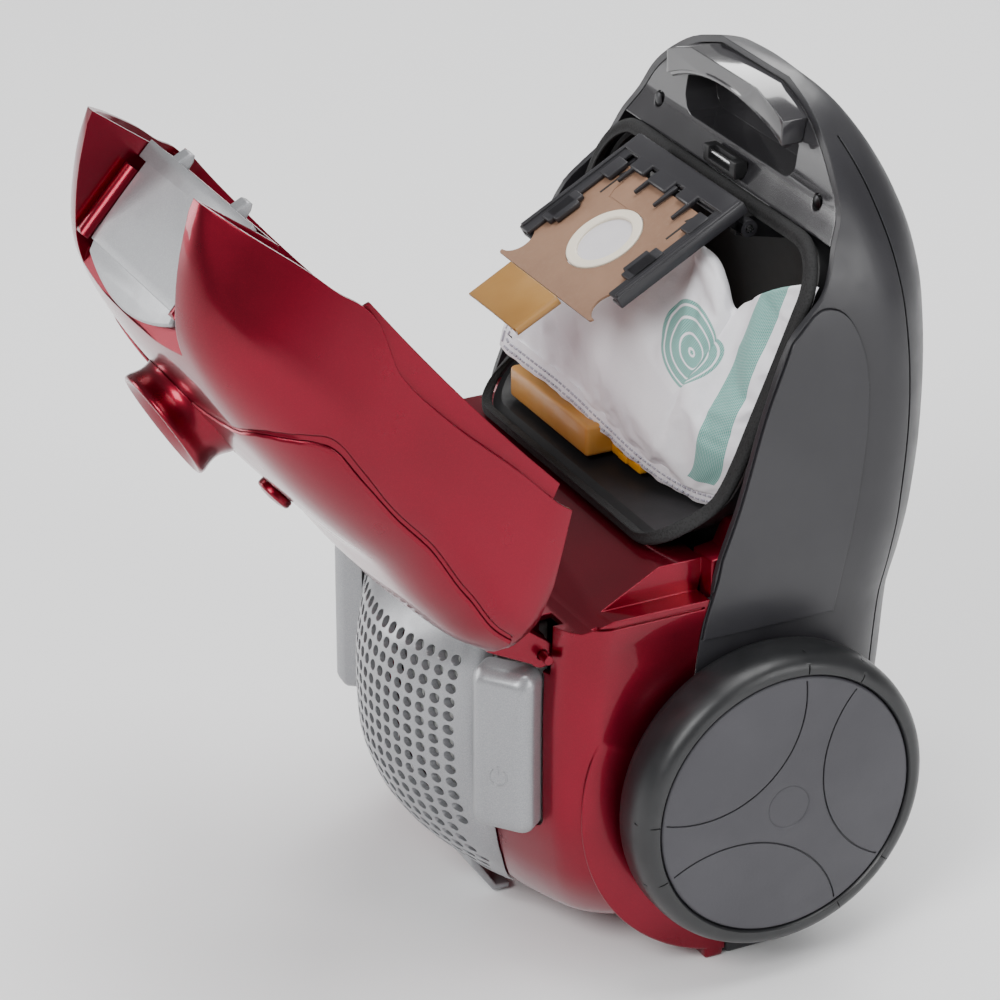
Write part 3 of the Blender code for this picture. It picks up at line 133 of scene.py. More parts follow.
class Surface:
    """One procedural material, built node by node."""

    def __init__(self, name, roughness, metallic=0.0, coat=0.0, coat_roughness=0.05, ior=1.5, sheen=0.0):
        self.material = bpy.data.materials.new(name)
        self.material.use_nodes = True
        self.tree = self.material.node_tree
        self.shader = self.tree.nodes["Principled BSDF"]
        self.shader.inputs["Roughness"].default_value = roughness
        self.shader.inputs["Metallic"].default_value = metallic
        self.shader.inputs["Coat Weight"].default_value = coat
        self.shader.inputs["Coat Roughness"].default_value = coat_roughness
        self.shader.inputs["IOR"].default_value = ior
        self.shader.inputs["Sheen Weight"].default_value = sheen
        self.place = self.node("ShaderNodeTexCoord").outputs["Object"]
        self.normal = None

    def node(self, kind, **values):
        made = self.tree.nodes.new(kind)
        for key, value in values.items():
            setattr(made, key, value)
        return made

    def link(self, source, target):
        self.tree.links.new(source, target)

    def noise(self, scale, detail=3.0, roughness=0.55, stretch=None):
        made = self.node("ShaderNodeTexNoise")
        made.inputs["Scale"].default_value = scale
        made.inputs["Detail"].default_value = detail
        made.inputs["Roughness"].default_value = roughness
        source = self.place
        if stretch:
            mapping = self.node("ShaderNodeMapping")
            mapping.inputs["Scale"].default_value = stretch
            self.link(source, mapping.inputs["Vector"])
            source = mapping.outputs["Vector"]
        self.link(source, made.inputs["Vector"])
        return made.outputs["Fac"]

    def cells(self, scale, output="Distance"):
        made = self.node("ShaderNodeTexVoronoi", feature="F1")
        made.inputs["Scale"].default_value = scale
        self.link(self.place, made.inputs["Vector"])
        return made.outputs[output]

    def maths(self, operation, *values):
        made = self.node("ShaderNodeMath", operation=operation)
        for socket, value in zip(made.inputs, values):
            if isinstance(value, (int, float)):
                socket.default_value = value
            else:
                self.link(value, socket)
        return made.outputs["Value"]

    def ramp(self, factor, low, high, to_low=0.0, to_high=1.0):
        made = self.node("ShaderNodeMapRange")
        self.link(factor, made.inputs["Value"])
        names = ("From Min", "From Max", "To Min", "To Max")
        for name, value in zip(names, (low, high, to_low, to_high)):
            made.inputs[name].default_value = value
        return made.outputs["Result"]

    def mix(self, factor, first, second):
        made = self.node("ShaderNodeMix", data_type="RGBA")
        if isinstance(factor, (int, float)):
            made.inputs["Factor"].default_value = factor
        else:
            self.link(factor, made.inputs["Factor"])
        for socket, value in zip((made.inputs[6], made.inputs[7]), (first, second)):
            if isinstance(value, tuple):
                socket.default_value = (*value, 1.0)
            else:
                self.link(value, socket)
        return made.outputs[2]

    def colour(self, value):
        if isinstance(value, tuple):
            self.shader.inputs["Base Color"].default_value = (*value, 1.0)
        else:
            self.link(value, self.shader.inputs["Base Color"])

    def rough(self, value):
        self.link(value, self.shader.inputs["Roughness"])

    def edges(self, radius):
        """Soften hard edges by a small radius."""
        made = self.node("ShaderNodeBevel", samples=4)
        made.inputs["Radius"].default_value = radius
        self.normal = made.outputs["Normal"]
        self.link(self.normal, self.shader.inputs["Normal"])
        if self.shader.inputs["Coat Weight"].default_value:
            self.link(self.normal, self.shader.inputs["Coat Normal"])

    def bump(self, height, distance, strength=1.0):
        made = self.node("ShaderNodeBump")
        made.inputs["Distance"].default_value = distance
        made.inputs["Strength"].default_value = strength
        self.link(height, made.inputs["Height"])
        if self.normal:
            self.link(self.normal, made.inputs["Normal"])
        self.normal = made.outputs["Normal"]
        self.link(self.normal, self.shader.inputs["Normal"])


def gloss_red():
    made = Surface("red_gloss", 0.30, metallic=0.85, coat=0.75, coat_roughness=0.03)
    made.shader.inputs["Coat IOR"].default_value = 1.30
    flakes = made.cells(5200.0, output="Color")
    tint = made.noise(9.0, 2.0)
    deep = made.mix(made.ramp(tint, 0.35, 0.65), (0.160, 0.0001, 0.0110), (0.208, 0.0001, 0.0150))
    grey = made.node("ShaderNodeRGBToBW")
    made.link(flakes, grey.inputs["Color"])
    sparkle = made.ramp(grey.outputs["Val"], 0.55, 0.9, 0.0, 0.35)
    made.colour(made.mix(sparkle, deep, (0.36, 0.001, 0.024)))
    made.rough(made.ramp(made.noise(40.0), 0.3, 0.7, 0.27, 0.34))
    made.edges(0.0009)
    made.bump(grey.outputs["Val"], 0.00002, 0.25)
    return made.material


def grained_plastic(name, colour, roughness, grain=900.0, depth=0.00006, edge=0.0007):
    """Moulded plastic with a fine spark-eroded grain, slightly paler where it is handled."""
    made = Surface(name, roughness, ior=1.48)
    pale = tuple(min(1.0, 1.18 * c + 0.004) for c in colour)
    cloud = made.noise(14.0, 4.0)
    made.colour(made.mix(made.ramp(cloud, 0.35, 0.7), colour, pale))
    made.rough(made.ramp(made.noise(60.0), 0.3, 0.7, roughness - 0.05, roughness + 0.06))
    made.edges(edge)
    made.bump(made.noise(grain, 2.0), depth, 0.6)
    return made.material


def polished_plastic():
    made = Surface("deck_gloss", 0.13, coat=0.6, coat_roughness=0.04, ior=1.55)
    cloud = made.noise(11.0, 3.0)
    made.colour(made.mix(made.ramp(cloud, 0.35, 0.7), (0.026, 0.025, 0.028), (0.036, 0.035, 0.038)))
    made.rough(made.ramp(made.noise(40.0, 1.0), 0.3, 0.75, 0.10, 0.15))
    made.edges(0.0009)
    made.bump(made.noise(30.0, 2.0), 0.00025, 0.12)
    return made.material


def foam():
    made = Surface("seal_foam", 0.85)
    pores = made.cells(900.0)
    # the foam is darkest at the pore centres, the pits of the bump: painted shade in the pores
    made.colour(made.mix(made.ramp(pores, 0.1, 0.5), (0.004, 0.004, 0.004), (0.014, 0.014, 0.0145)))
    made.bump(made.maths("ADD", pores, made.noise(1500.0)), 0.00035, 0.7)
    return made.material


def tyre():
    made = Surface("tyre_rubber", 0.36, ior=1.5)
    dust = made.noise(26.0, 5.0, 0.6)
    made.colour(made.mix(made.ramp(dust, 0.42, 0.7), (0.010, 0.0105, 0.0115), (0.018, 0.0185, 0.020)))
    made.rough(made.ramp(made.noise(80.0, 4.0), 0.3, 0.7, 0.31, 0.44))
    made.edges(0.0006)
    made.bump(made.noise(600.0, 3.0), 0.00004, 0.5)
    return made.material


def silver():
    made = Surface("silver_paint", 0.36, metallic=0.55, coat=0.25, coat_roughness=0.25)
    flakes = made.cells(4600.0, output="Color")
    grey = made.node("ShaderNodeRGBToBW")
    made.link(flakes, grey.inputs["Color"])
    sparkle = made.ramp(grey.outputs["Val"], 0.3, 0.9)
    made.colour(made.mix(sparkle, (0.27, 0.275, 0.29), (0.37, 0.375, 0.385)))
    made.rough(made.ramp(made.noise(90.0), 0.3, 0.7, 0.32, 0.42))
    made.edges(0.0006)
    made.bump(made.noise(1400.0, 2.0), 0.00003, 0.4)
    return made.material


def turned_metal(name, colour, roughness):
    made = Surface(name, roughness, metallic=1.0)
    lines = made.noise(220.0, 3.0, 0.6, stretch=(1.0, 9.0, 9.0))
    dark = tuple(0.8 * c for c in colour)
    made.colour(made.mix(made.ramp(lines, 0.3, 0.7), dark, colour))
    made.rough(made.ramp(lines, 0.3, 0.7, roughness - 0.06, roughness + 0.1))
    made.bump(lines, 0.00003, 0.4)
    return made.material


def kraft():
    made = Surface("kraft_card", 0.82, sheen=0.1)
    fibres = made.noise(420.0, 5.0, 0.7, stretch=(1.0, 1.0, 0.28))
    cloud = made.noise(30.0, 3.0)
    base = made.mix(made.ramp(cloud, 0.3, 0.7), (0.200, 0.108, 0.062), (0.255, 0.142, 0.086))
    made.colour(made.mix(made.ramp(fibres, 0.48, 0.75, 0.0, 0.75), base, (0.235, 0.140, 0.090)))
    made.bump(fibres, 0.00012, 0.6)
    return made.material


def amber(name="amber_plastic", deep=(0.46, 0.19, 0.025), pale=(0.56, 0.28, 0.07), scatter=0.25):
    made = Surface(name, 0.34, coat=0.2, coat_roughness=0.2)
    made.shader.inputs["Subsurface Weight"].default_value = scatter
    made.shader.inputs["Subsurface Radius"].default_value = (0.006, 0.003, 0.001)
    cloud = made.noise(24.0, 3.0)
    made.colour(made.mix(made.ramp(cloud, 0.3, 0.7), deep, pale))
    made.rough(made.ramp(made.noise(130.0), 0.3, 0.7, 0.28, 0.42))
    made.edges(0.0010)
    made.bump(made.noise(700.0, 2.0), 0.00005, 0.5)
    return made.material


def cream():
    made = Surface("cream_ring", 0.5, coat=0.1)
    made.colour(made.mix(made.noise(60.0), (0.72, 0.65, 0.52), (0.80, 0.74, 0.62)))
    made.edges(0.0005)
    made.bump(made.noise(900.0), 0.00004, 0.5)
    return made.material


def pleated_paper():
    made = Surface("filter_paper", 0.9)
    made.colour(made.mix(made.noise(400.0, 5.0), (0.62, 0.63, 0.62), (0.80, 0.81, 0.79)))
    made.bump(made.noise(900.0, 4.0), 0.0002, 0.7)
    return made.material


def winding():
    made = Surface("copper_core", 0.38, metallic=0.9)
    wires = made.node("ShaderNodeTexWave", bands_direction="Z")
    wires.inputs["Scale"].default_value = 160.0
    made.link(made.place, wires.inputs["Vector"])
    # the copper is dark in the low bands between the wires, where the bump sinks them: painted shade between
    # the windings
    made.colour(made.mix(wires.outputs["Fac"], (0.20, 0.07, 0.03), (0.62, 0.28, 0.12)))
    made.bump(wires.outputs["Fac"], 0.0003)
    return made.material


MATERIALS = {}


def make_materials():
    MATERIALS["red_gloss"] = gloss_red()
    MATERIALS["dark_grey"] = grained_plastic("dark_grey", (0.019, 0.0185, 0.0215), 0.38, depth=0.00003)
    MATERIALS["panel_grey"] = grained_plastic("panel_grey", (0.022, 0.0215, 0.0250), 0.34, depth=0.00003)
    MATERIALS["deck_gloss"] = polished_plastic()
    MATERIALS["black_plastic"] = grained_plastic("black_plastic", (0.010, 0.010, 0.011), 0.46)
    MATERIALS["seal_foam"] = foam()
    MATERIALS["tyre_rubber"] = tyre()
    coarse = {"grain": 520.0, "depth": 0.00010}
    MATERIALS["wheel_grey"] = grained_plastic("wheel_grey", (0.040, 0.039, 0.046), 0.46, **coarse)
    MATERIALS["silver_paint"] = silver()
    MATERIALS["steel"] = turned_metal("steel", (0.62, 0.62, 0.63), 0.26)
    MATERIALS["aluminium"] = turned_metal("aluminium", (0.66, 0.67, 0.68), 0.34)
    MATERIALS["kraft_card"] = kraft()
    MATERIALS["amber_plastic"] = amber()
    MATERIALS["cream_ring"] = cream()
    MATERIALS["filter_paper"] = pleated_paper()
    MATERIALS["copper_core"] = winding()


def dress_frame():
    """Give every CAD node the detailed material of its own slot; the hinge pins are painted over."""
    for row in frame["record"]["subparts"]:
        node = frame["nodes"][row["node"]]
        painted = row["node"].startswith("lid_hinge_pin")
        finish = MATERIALS.get("red_gloss" if painted else row["material_slot"])
        if finish is None:
            continue
        for index in range(len(node.material_slots)):
            node.material_slots[index].material = finish


# ---------------------------------------------------------------- modelling helpers


def object_from(bm, name):
    bmesh.ops.recalc_face_normals(bm, faces=bm.faces)
    mesh = bpy.data.meshes.new(name)
    bm.to_mesh(mesh)
    bm.free()
    made = bpy.data.objects.new(name, mesh)
    bpy.context.scene.collection.objects.link(made)
    return made


def loft(name, rings, caps=True):
    """Skin rings of equal length, in order, and cap both ends."""
    bm = bmesh.new()
    rows = [[bm.verts.new(point) for point in ring] for ring in rings]
    count = len(rings[0])
    for lower, upper in zip(rows, rows[1:]):
        for i in range(count):
            j = (i + 1) % count
            bm.faces.new((lower[i], lower[j], upper[j], upper[i]))
    if caps:
        bm.faces.new(rows[0])
        bm.faces.new(rows[-1])
    return object_from(bm, name)


def prism(name, outline, start, end, axis="x"):
    """Push a flat outline along an axis; the outline's two numbers are the other two axes."""
    place = {
        "x": lambda a, b, t: (t, a, b),
        "y": lambda a, b, t: (a, t, b),
        "z": lambda a, b, t: (a, b, t),
    }[axis]
    return loft(name, [[place(a, b, start) for a, b in outline], [place(a, b, end) for a, b in outline]])


def box(name, low, high):
    outline = [(low[0], low[1]), (high[0], low[1]), (high[0], high[1]), (low[0], high[1])]
    return prism(name, outline, low[2], high[2], "z")


def turned(name, profile, steps=72):
    """Turn a profile of (radius, height) points round the Z axis; its ends meet or lie on the axis."""
    bm = bmesh.new()
    turns = np.linspace(0.0, 2 * math.pi, steps, endpoint=False)
    rings = []
    for radius, height in profile:
        if radius > 0.0:
            rings.append([bm.verts.new((radius * math.cos(a), radius * math.sin(a), height)) for a in turns])
        else:
            rings.append([bm.verts.new((0.0, 0.0, height))] * steps)
    pairs = list(zip(rings, rings[1:]))
    if profile[0][0] > 0.0 and profile[-1][0] > 0.0:
        pairs.append((rings[-1], rings[0]))
    for lower, upper in pairs:
        for i in range(steps):
            j = (i + 1) % steps
            corners = (lower[i], lower[j], upper[j], upper[i])
            corners = [corner for k, corner in enumerate(corners) if corner is not corners[k - 1]]
            if len(corners) > 2:
                bm.faces.new(corners)
    return object_from(bm, name)


def rod(name, radius, start, end, axis="x", centre=(0.0, 0.0), sides=48):
    """A cylinder along an axis; centre holds its place on the other two axes."""
    outline = [
        (centre[0] + radius * math.cos(a), centre[1] + radius * math.sin(a))
        for a in np.linspace(0.0, 2 * math.pi, sides, endpoint=False)
    ]
    return prism(name, outline, start, end, axis)


def move(thing, matrix):
    thing.data.transform(matrix)
    if matrix.determinant() < 0:
        thing.data.flip_normals()
    return thing


def tube(name, points, radius, cyclic=False, sides=10):
    """A round bar along points."""
    path = np.array(points, float)
    ahead = np.roll(path, -1, 0) - path
    behind = path - np.roll(path, 1, 0)
    if not cyclic:
        ahead[-1] = behind[-1]
        behind[0] = ahead[0]
    along = ahead + behind
    along /= np.linalg.norm(along, axis=1)[:, None]
    side = np.cross(along[0], (0.31, 0.55, 0.77))
    rings = []
    for point, direction in zip(path, along):
        side = side - direction * np.dot(side, direction)
        side /= np.linalg.norm(side)
        other = np.cross(direction, side)
        turns = np.linspace(0.0, 2 * math.pi, sides, endpoint=False)
        rings.append([tuple(point + radius * (math.cos(a) * side + math.sin(a) * other)) for a in turns])
    if not cyclic:
        return loft(name, rings)
    bm = bmesh.new()
    rows = [[bm.verts.new(point) for point in ring] for ring in rings]
    shift = closing_shift(rings, sides)
    for k, lower in enumerate(rows):
        upper = rows[(k + 1) % len(rows)]
        step = shift if k + 1 == len(rows) else 0
        for i in range(sides):
            j = (i + 1) % sides
            bm.faces.new((lower[i], lower[j], upper[(j + step) % sides], upper[(i + step) % sides]))
    return object_from(bm, name)


def closing_shift(rings, sides):
    """How many corners the last ring is turned against the first one."""
    gaps = [math.dist(rings[-1][0], rings[0][k]) for k in range(sides)]
    return gaps.index(min(gaps))


def combine(thing, other, operation):
    step = thing.modifiers.new("boolean", "BOOLEAN")
    step.operation = operation
    step.solver = "EXACT"
    step.object = other
    return bake_modifiers(thing, other)


def bake_modifiers(thing, other=None):
    bpy.context.view_layer.update()
    seen = thing.evaluated_get(bpy.context.evaluated_depsgraph_get())
    result = bpy.data.meshes.new_from_object(seen)
    thing.modifiers.clear()
    thing.data = result
    if other:
        bpy.data.objects.remove(other, do_unlink=True)
    return thing


def cut(thing, *others):
    for other in others:
        combine(thing, other, "DIFFERENCE")
    return thing


def join(thing, *others):
    for other in others:
        combine(thing, other, "UNION")
    return thing


def keep(thing, other):
    return combine(thing, other, "INTERSECT")


def merge(name, things):
    """Put separate meshes into one object without a Boolean."""
    bm = bmesh.new()
    for thing in things:
        bm.from_mesh(thing.data)
        bpy.data.objects.remove(thing, do_unlink=True)
    mesh = bpy.data.meshes.new(name)
    bm.to_mesh(mesh)
    bm.free()
    made = bpy.data.objects.new(name, mesh)
    bpy.context.scene.collection.objects.link(made)
    return made


def bevelled(thing, width, segments=3, angle=30.0):
    step = thing.modifiers.new("bevel", "BEVEL")
    step.width = width
    step.segments = segments
    step.limit_method = "ANGLE"
    step.angle_limit = math.radians(angle)
    return bake_modifiers(thing)


def skin_from(*skins):
    """Nearest-point trees and vertex normals of smooth skins, for borrowing their normals."""
    found = []
    for skin in skins:
        mesh = skin.data
        mesh.calc_loop_triangles()
        normals = [v.normal.copy() for v in mesh.vertices]
        corners = [tuple(t.vertices) for t in mesh.loop_triangles]
        points = [v.co.copy() for v in mesh.vertices]
        found.append((BVHTree.FromPolygons(points, corners), normals, corners, points))
        bpy.data.objects.remove(skin, do_unlink=True)
    return found


SKIN_REACH = 0.00025
SKIN_AGREEMENT = 0.86


def borrowed_normal(skin, co, facing):
    tree, normals, corners, points = skin
    hit, _, index, distance = tree.find_nearest(co)
    if hit is None or distance > SKIN_REACH:
        return None
    a, b, c = corners[index]
    weights = barycentric(hit, points[a], points[b], points[c])
    normal = (normals[a] * weights[0] + normals[b] * weights[1] + normals[c] * weights[2]).normalized()
    dot = normal.dot(facing)
    if abs(dot) < SKIN_AGREEMENT:
        return None
    return normal if dot > 0 else -normal


def barycentric(p, a, b, c):
    v0, v1, v2 = b - a, c - a, p - a
    d00, d01, d11 = v0.dot(v0), v0.dot(v1), v1.dot(v1)
    d20, d21 = v2.dot(v0), v2.dot(v1)
    bottom = d00 * d11 - d01 * d01
    if abs(bottom) < 1e-18:
        return (1.0, 0.0, 0.0)
    v = (d11 * d20 - d01 * d21) / bottom
    w = (d00 * d21 - d01 * d20) / bottom
    return (1.0 - v - w, v, w)


def smooth_like(thing, skins, angle=32.0):
    """Smooth shading whose normals come from the uncut skins wherever the piece still follows them."""
    mesh = thing.data
    mesh.shade_smooth()
    mesh.set_sharp_from_angle(angle=math.radians(angle))
    normals = [Vector(n.vector) for n in mesh.corner_normals]
    for face in mesh.polygons:
        facing = face.normal
        for skin in skins:
            if borrowed_normal(skin, face.center, facing) is None:
                continue
            for loop in face.loop_indices:
                co = mesh.vertices[mesh.loops[loop].vertex_index].co
                normal = borrowed_normal(skin, co, facing)
                if normal:
                    normals[loop] = normal
            break
    mesh.normals_split_custom_set([tuple(n) for n in normals])
    return thing


def place(thing, name, slot, body, *replaced, matrix=TO_ROW, angle=32.0, skins=None, material=None):
    """Name, shade, colour and hang a finished piece, which stands for the CAD nodes named."""
    if skins is not None:
        smooth_like(thing, skins, angle)
    else:
        thing.data.shade_smooth()
        thing.data.set_sharp_from_angle(angle=math.radians(angle))
    move(thing, matrix)
    thing.name = name
    thing.data.name = name
    thing.data.materials.clear()
    thing.data.materials.append(material or MATERIALS[slot])
    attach(thing, body)
    if replaced:
        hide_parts(*replaced)
    return thing


def arc(centre, radius, start, end, count):
    turns = np.radians(np.linspace(start, end, count + 1))
    return [(centre[0] + radius * math.cos(a), centre[1] + radius * math.sin(a)) for a in turns]


def pchip(xs, ys, x):
    """A monotone cubic through points, for curves that mustn't overshoot."""
    xs, ys = np.asarray(xs, float), np.asarray(ys, float)
    h = np.diff(xs)
    d = np.diff(ys) / h
    slope = np.zeros_like(ys)
    for i in range(1, len(xs) - 1):
        if d[i - 1] * d[i] > 0:
            w1 = 2 * h[i] + h[i - 1]
            w2 = h[i] + 2 * h[i - 1]
            slope[i] = (w1 + w2) / (w1 / d[i - 1] + w2 / d[i])
    slope[0], slope[-1] = d[0], d[-1]
    i = np.clip(np.searchsorted(xs, x) - 1, 0, len(xs) - 2)
    t = (x - xs[i]) / h[i]
    t2, t3 = t * t, t * t * t
    value = (2 * t3 - 3 * t2 + 1) * ys[i] + (t3 - 2 * t2 + t) * h[i] * slope[i]
    return value + (-2 * t3 + 3 * t2) * ys[i + 1] + (t3 - t2) * h[i] * slope[i + 1]


def flowing(points, per_span=5):
    """A smooth curve through points (centripetal Catmull-Rom)."""
    p = [np.array(point, float) for point in points]
    p = [2 * p[0] - p[1]] + p + [2 * p[-1] - p[-2]]
    out = []
    for a, b, c, d in zip(p, p[1:], p[2:], p[3:]):
        t0 = 0.0
        t1 = t0 + np.linalg.norm(b - a) ** 0.5
        t2 = t1 + np.linalg.norm(c - b) ** 0.5
        t3 = t2 + np.linalg.norm(d - c) ** 0.5
        for t in np.linspace(t1, t2, per_span, endpoint=False):
            a1 = (t1 - t) / (t1 - t0) * a + (t - t0) / (t1 - t0) * b
            a2 = (t2 - t) / (t2 - t1) * b + (t - t1) / (t2 - t1) * c
            a3 = (t3 - t) / (t3 - t2) * c + (t - t2) / (t3 - t2) * d
            b1 = (t2 - t) / (t2 - t0) * a1 + (t - t0) / (t2 - t0) * a2
            b2 = (t3 - t) / (t3 - t1) * a2 + (t - t1) / (t3 - t1) * a3
            out.append(tuple((t2 - t) / (t2 - t1) * b1 + (t - t1) / (t2 - t1) * b2))
    out.append(tuple(p[-2]))
    return out


def shifted(outline, dy):
    return [(y + dy, z) for y, z in outline]


def span(side, near, far):
    """A stretch of x on one side of the middle, lowest end first."""
    return sorted((side * near, side * far))


def rounded(half_x, half_z, radius, count):
    """A rectangle with rounded corners, about the origin."""
    outline = []
    for cx, cz, start in ((1, 1, 0), (-1, 1, 90), (-1, -1, 180), (1, -1, 270)):
        centre = (cx * (half_x - radius), cz * (half_z - radius))
        outline += arc(centre, radius, start, start + 90, count)
    return outline


# ---------------------------------------------------------------- the body's forms

# Hull stations: height z, half width, lid side y, underside y, corner radii on those two sides.
HULL = (
    (-0.090, 0.056, -0.040, 0.022, 0.014, 0.020),
    (-0.084, 0.080, -0.060, 0.046, 0.018, 0.028),
    (-0.066, 0.102, -0.080, 0.062, 0.020, 0.034),
    (-0.036, 0.1125, -0.094, 0.072, 0.016, 0.038),
    (0.000, 0.1160, -0.100, 0.079, 0.015, 0.040),
    (0.041, 0.1165, -0.100, 0.084, 0.015, 0.040),
    (0.080, 0.1170, -0.098, 0.087, 0.015, 0.040),
    (0.104, 0.1205, -0.096, 0.091, 0.015, 0.040),
    (0.130, 0.1230, -0.096, 0.095, 0.020, 0.040),
    (0.165, 0.1225, -0.080, 0.099, 0.020, 0.040),
    (0.205, 0.1205, -0.060, 0.1005, 0.020, 0.040),
    (0.235, 0.1170, -0.050, 0.100, 0.020, 0.040),
    (0.260, 0.1110, -0.040, 0.097, 0.020, 0.040),
    (0.282, 0.1015, -0.030, 0.0915, 0.020, 0.040),
    (0.300, 0.0890, -0.020, 0.084, 0.020, 0.036),
    (0.313, 0.0740, -0.010, 0.077, 0.018, 0.030),
    (0.323, 0.0570, 0.000, 0.0695, 0.014, 0.022),
    (0.330, 0.0360, 0.010, 0.062, 0.010, 0.014),
)
HULL_CROWN_LID = 0.026
HULL_CROWN_UNDER = 0.004
# Side outlines, as (y, z): the red shell's edge, then the lid's edge and the deck in front of it.
SEAM = ((-0.015, -0.130), (-0.015, -0.0485), (-0.036, -0.020))
SEAM += ((-0.038, 0.000), (-0.036, 0.061), (-0.033, 0.095), (-0.029, 0.116))
SIDE_EDGE_KNOTS = (
    (-0.029, 0.116),
    (-0.0265, 0.128),
    (-0.0173, 0.153),
    (-0.0033, 0.198),
    (0.0115, 0.231),
    (0.0235, 0.2425),
    (0.0315, 0.250),
    (0.0360, 0.2590),
    (0.0400, 0.2700),
    (0.0465, 0.2830),
    (0.0490, 0.3000),
    (0.0545, 0.3250),
    (0.0580, 0.3400),
)
SIDE_EDGE = flowing(SIDE_EDGE_KNOTS, 4)
DECK_TOP = flowing(SIDE_EDGE_KNOTS[8:], 5)
LEDGE_Z = 0.107
LEDGE_X = 0.1085
RIDGE_Z = 0.1238
WALL = 0.003
# Lid stations: height z, half width, top y, corner radius.
LID = (
    (0.1100, 0.1200, -0.112, 0.018),
    (0.1150, 0.1215, -0.119, 0.022),
    (0.1300, 0.1230, -0.118, 0.030),
    (0.1510, 0.1230, -0.110, 0.039),
    (0.1820, 0.1220, -0.093, 0.044),
    (0.2050, 0.1205, -0.084, 0.044),
    (0.2350, 0.1175, -0.071, 0.042),
    (0.2600, 0.1115, -0.058, 0.038),
    (0.2820, 0.1040, -0.046, 0.034),
    (0.3000, 0.0960, -0.033, 0.026),
    (0.3145, 0.0870, -0.018, 0.022),
    (0.3220, 0.0800, -0.003, 0.018),
    (0.3280, 0.0740, 0.015, 0.012),
    (0.3320, 0.0680, 0.034, 0.008),
)
LID_CROWN = 0.012
LID_FOOT_Y = 0.080
HORN_INNER_X = 0.0615
LEVER_PIVOT = (-0.0035, 0.3040)
CASTER_AXIS = (0.0, 0.284)
CASTER_AXLE = (0.101, 0.2755)
LEAST_CORNER = 0.004
RIM_KNOTS = ((-0.045, 0.126), (-0.030, 0.137), (-0.012, 0.150))
RIM_KNOTS += ((0.010, 0.195), (0.030, 0.242), (0.041, 0.268))
RIM_PROFILE = flowing(RIM_KNOTS, 4)


def section(z, half, low, high, r_low, r_high, crown_low, crown_high):
    """A rounded rectangle at height z whose lid side and underside are crowned."""
    flat = []
    inner = half - r_low
    flat += [(x, low) for x in np.linspace(-inner, inner, 22)[1:-1]]
    flat += arc((inner, low + r_low), r_low, -90, 0, 9)
    flat += [(half, y) for y in np.linspace(low + r_low, high - r_high, 14)[1:-1]]
    inner = half - r_high
    flat += arc((inner, high - r_high), r_high, 0, 90, 12)
    flat += [(x, high) for x in np.linspace(inner, -inner, 14)[1:-1]]
    flat += arc((-inner, high - r_high), r_high, 90, 180, 12)
    flat += [(-half, y) for y in np.linspace(high - r_high, low + r_low, 14)[1:-1]]
    flat += arc((-half + r_low, low + r_low), r_low, 180, 270, 9)
    middle = (low + high) / 2
    ring = []
    for x, y in flat:
        bulge = 1.0 - (x / half) ** 2
        if y < middle:
            y -= crown_low * bulge * (middle - y) / (middle - low)
        else:
            y += crown_high * bulge * (y - middle) / (high - middle)
        ring.append((x, y, z))
    return ring


def stations(table, count):
    """Smooth stations between a table's rows, closer together at both ends."""
    rows = np.array(table)
    t = np.linspace(0.0, 1.0, count)
    t = 0.5 * t + 0.5 * (0.5 - 0.5 * np.cos(math.pi * t))
    z = rows[0, 0] + (rows[-1, 0] - rows[0, 0]) * t
    return np.column_stack([z] + [pchip(rows[:, 0], rows[:, k], z) for k in range(1, rows.shape[1])])


def hull(name, grow=0.0, count=84):
    """The closed outer form of the body, grown or shrunk by grow."""
    first, last = HULL[0][0], HULL[-1][0]
    centre = (first + last) / 2
    stretch = 1.0 + grow / ((last - first) / 2)
    rings = []
    for z, half, low, high, r_low, r_high in stations(HULL, count):
        place_z = centre + (z - centre) * stretch
        radii = (max(r_low + grow, LEAST_CORNER), max(r_high + grow, LEAST_CORNER))
        crowns = (HULL_CROWN_LID, HULL_CROWN_UNDER)
        rings.append(section(place_z, half + grow, low - grow, high + grow, *radii, *crowns))
    return loft(name, rings)


def dome(name, grow=0.0, trim=0.0, count=64):
    """The closed outer form of the lid; trim moves its two ends inwards."""
    first, last = LID[0][0], LID[-1][0]
    centre = (first + last) / 2
    shrink = 1.0 - trim / ((last - first) / 2)
    rings = []
    for z, half, top, radius in stations(LID, count):
        place_z = centre + (z - centre) * shrink
        low = top + LID_CROWN - grow
        radii = (max(radius + grow, LEAST_CORNER), LEAST_CORNER)
        rings.append(section(place_z, half + grow, low, LID_FOOT_Y, *radii, LID_CROWN, 0.0))
    return loft(name, rings)


# ---------------------------------------------------------------- body shells


def above_body(name):
    outline = [(-0.30, LEDGE_Z), (-0.029, LEDGE_Z)] + SIDE_EDGE + [(0.058, 0.50), (-0.30, 0.50)]
    return prism(name, outline, -0.30, 0.30)


def red_zone(name):
    outline = list(SEAM)
    outline += [(-0.029, RIDGE_Z), (-0.052, RIDGE_Z), (-0.096, 0.100), (-0.30, 0.100), (-0.30, -0.130)]
    return prism(name, outline, -0.30, 0.30)


def behind_seam(name):
    outline = [(y + 0.0004, z) for y, z in SEAM]
    outline += [(-0.0286, RIDGE_Z + 0.0004), (-0.30, RIDGE_Z + 0.0004), (-0.30, -0.130)]
    return prism(name, outline, -0.30, 0.30)


def red_zone_inner():
    top = RIDGE_Z - WALL
    outline = [(0.15, -0.130), (0.15, top), (-0.0505, top)]
    outline += [(-0.0945, 0.097), (-0.30, 0.097), (-0.30, -0.130)]
    inner = prism("inner", outline, -0.30, 0.30)
    for side in (-1, 1):
        low, high = span(side, LEDGE_X - WALL, 0.40)
        inner = cut(inner, box("shoulder", (low, -0.40, LEDGE_Z - WALL), (high, 0.20, 0.20)))
    return inner


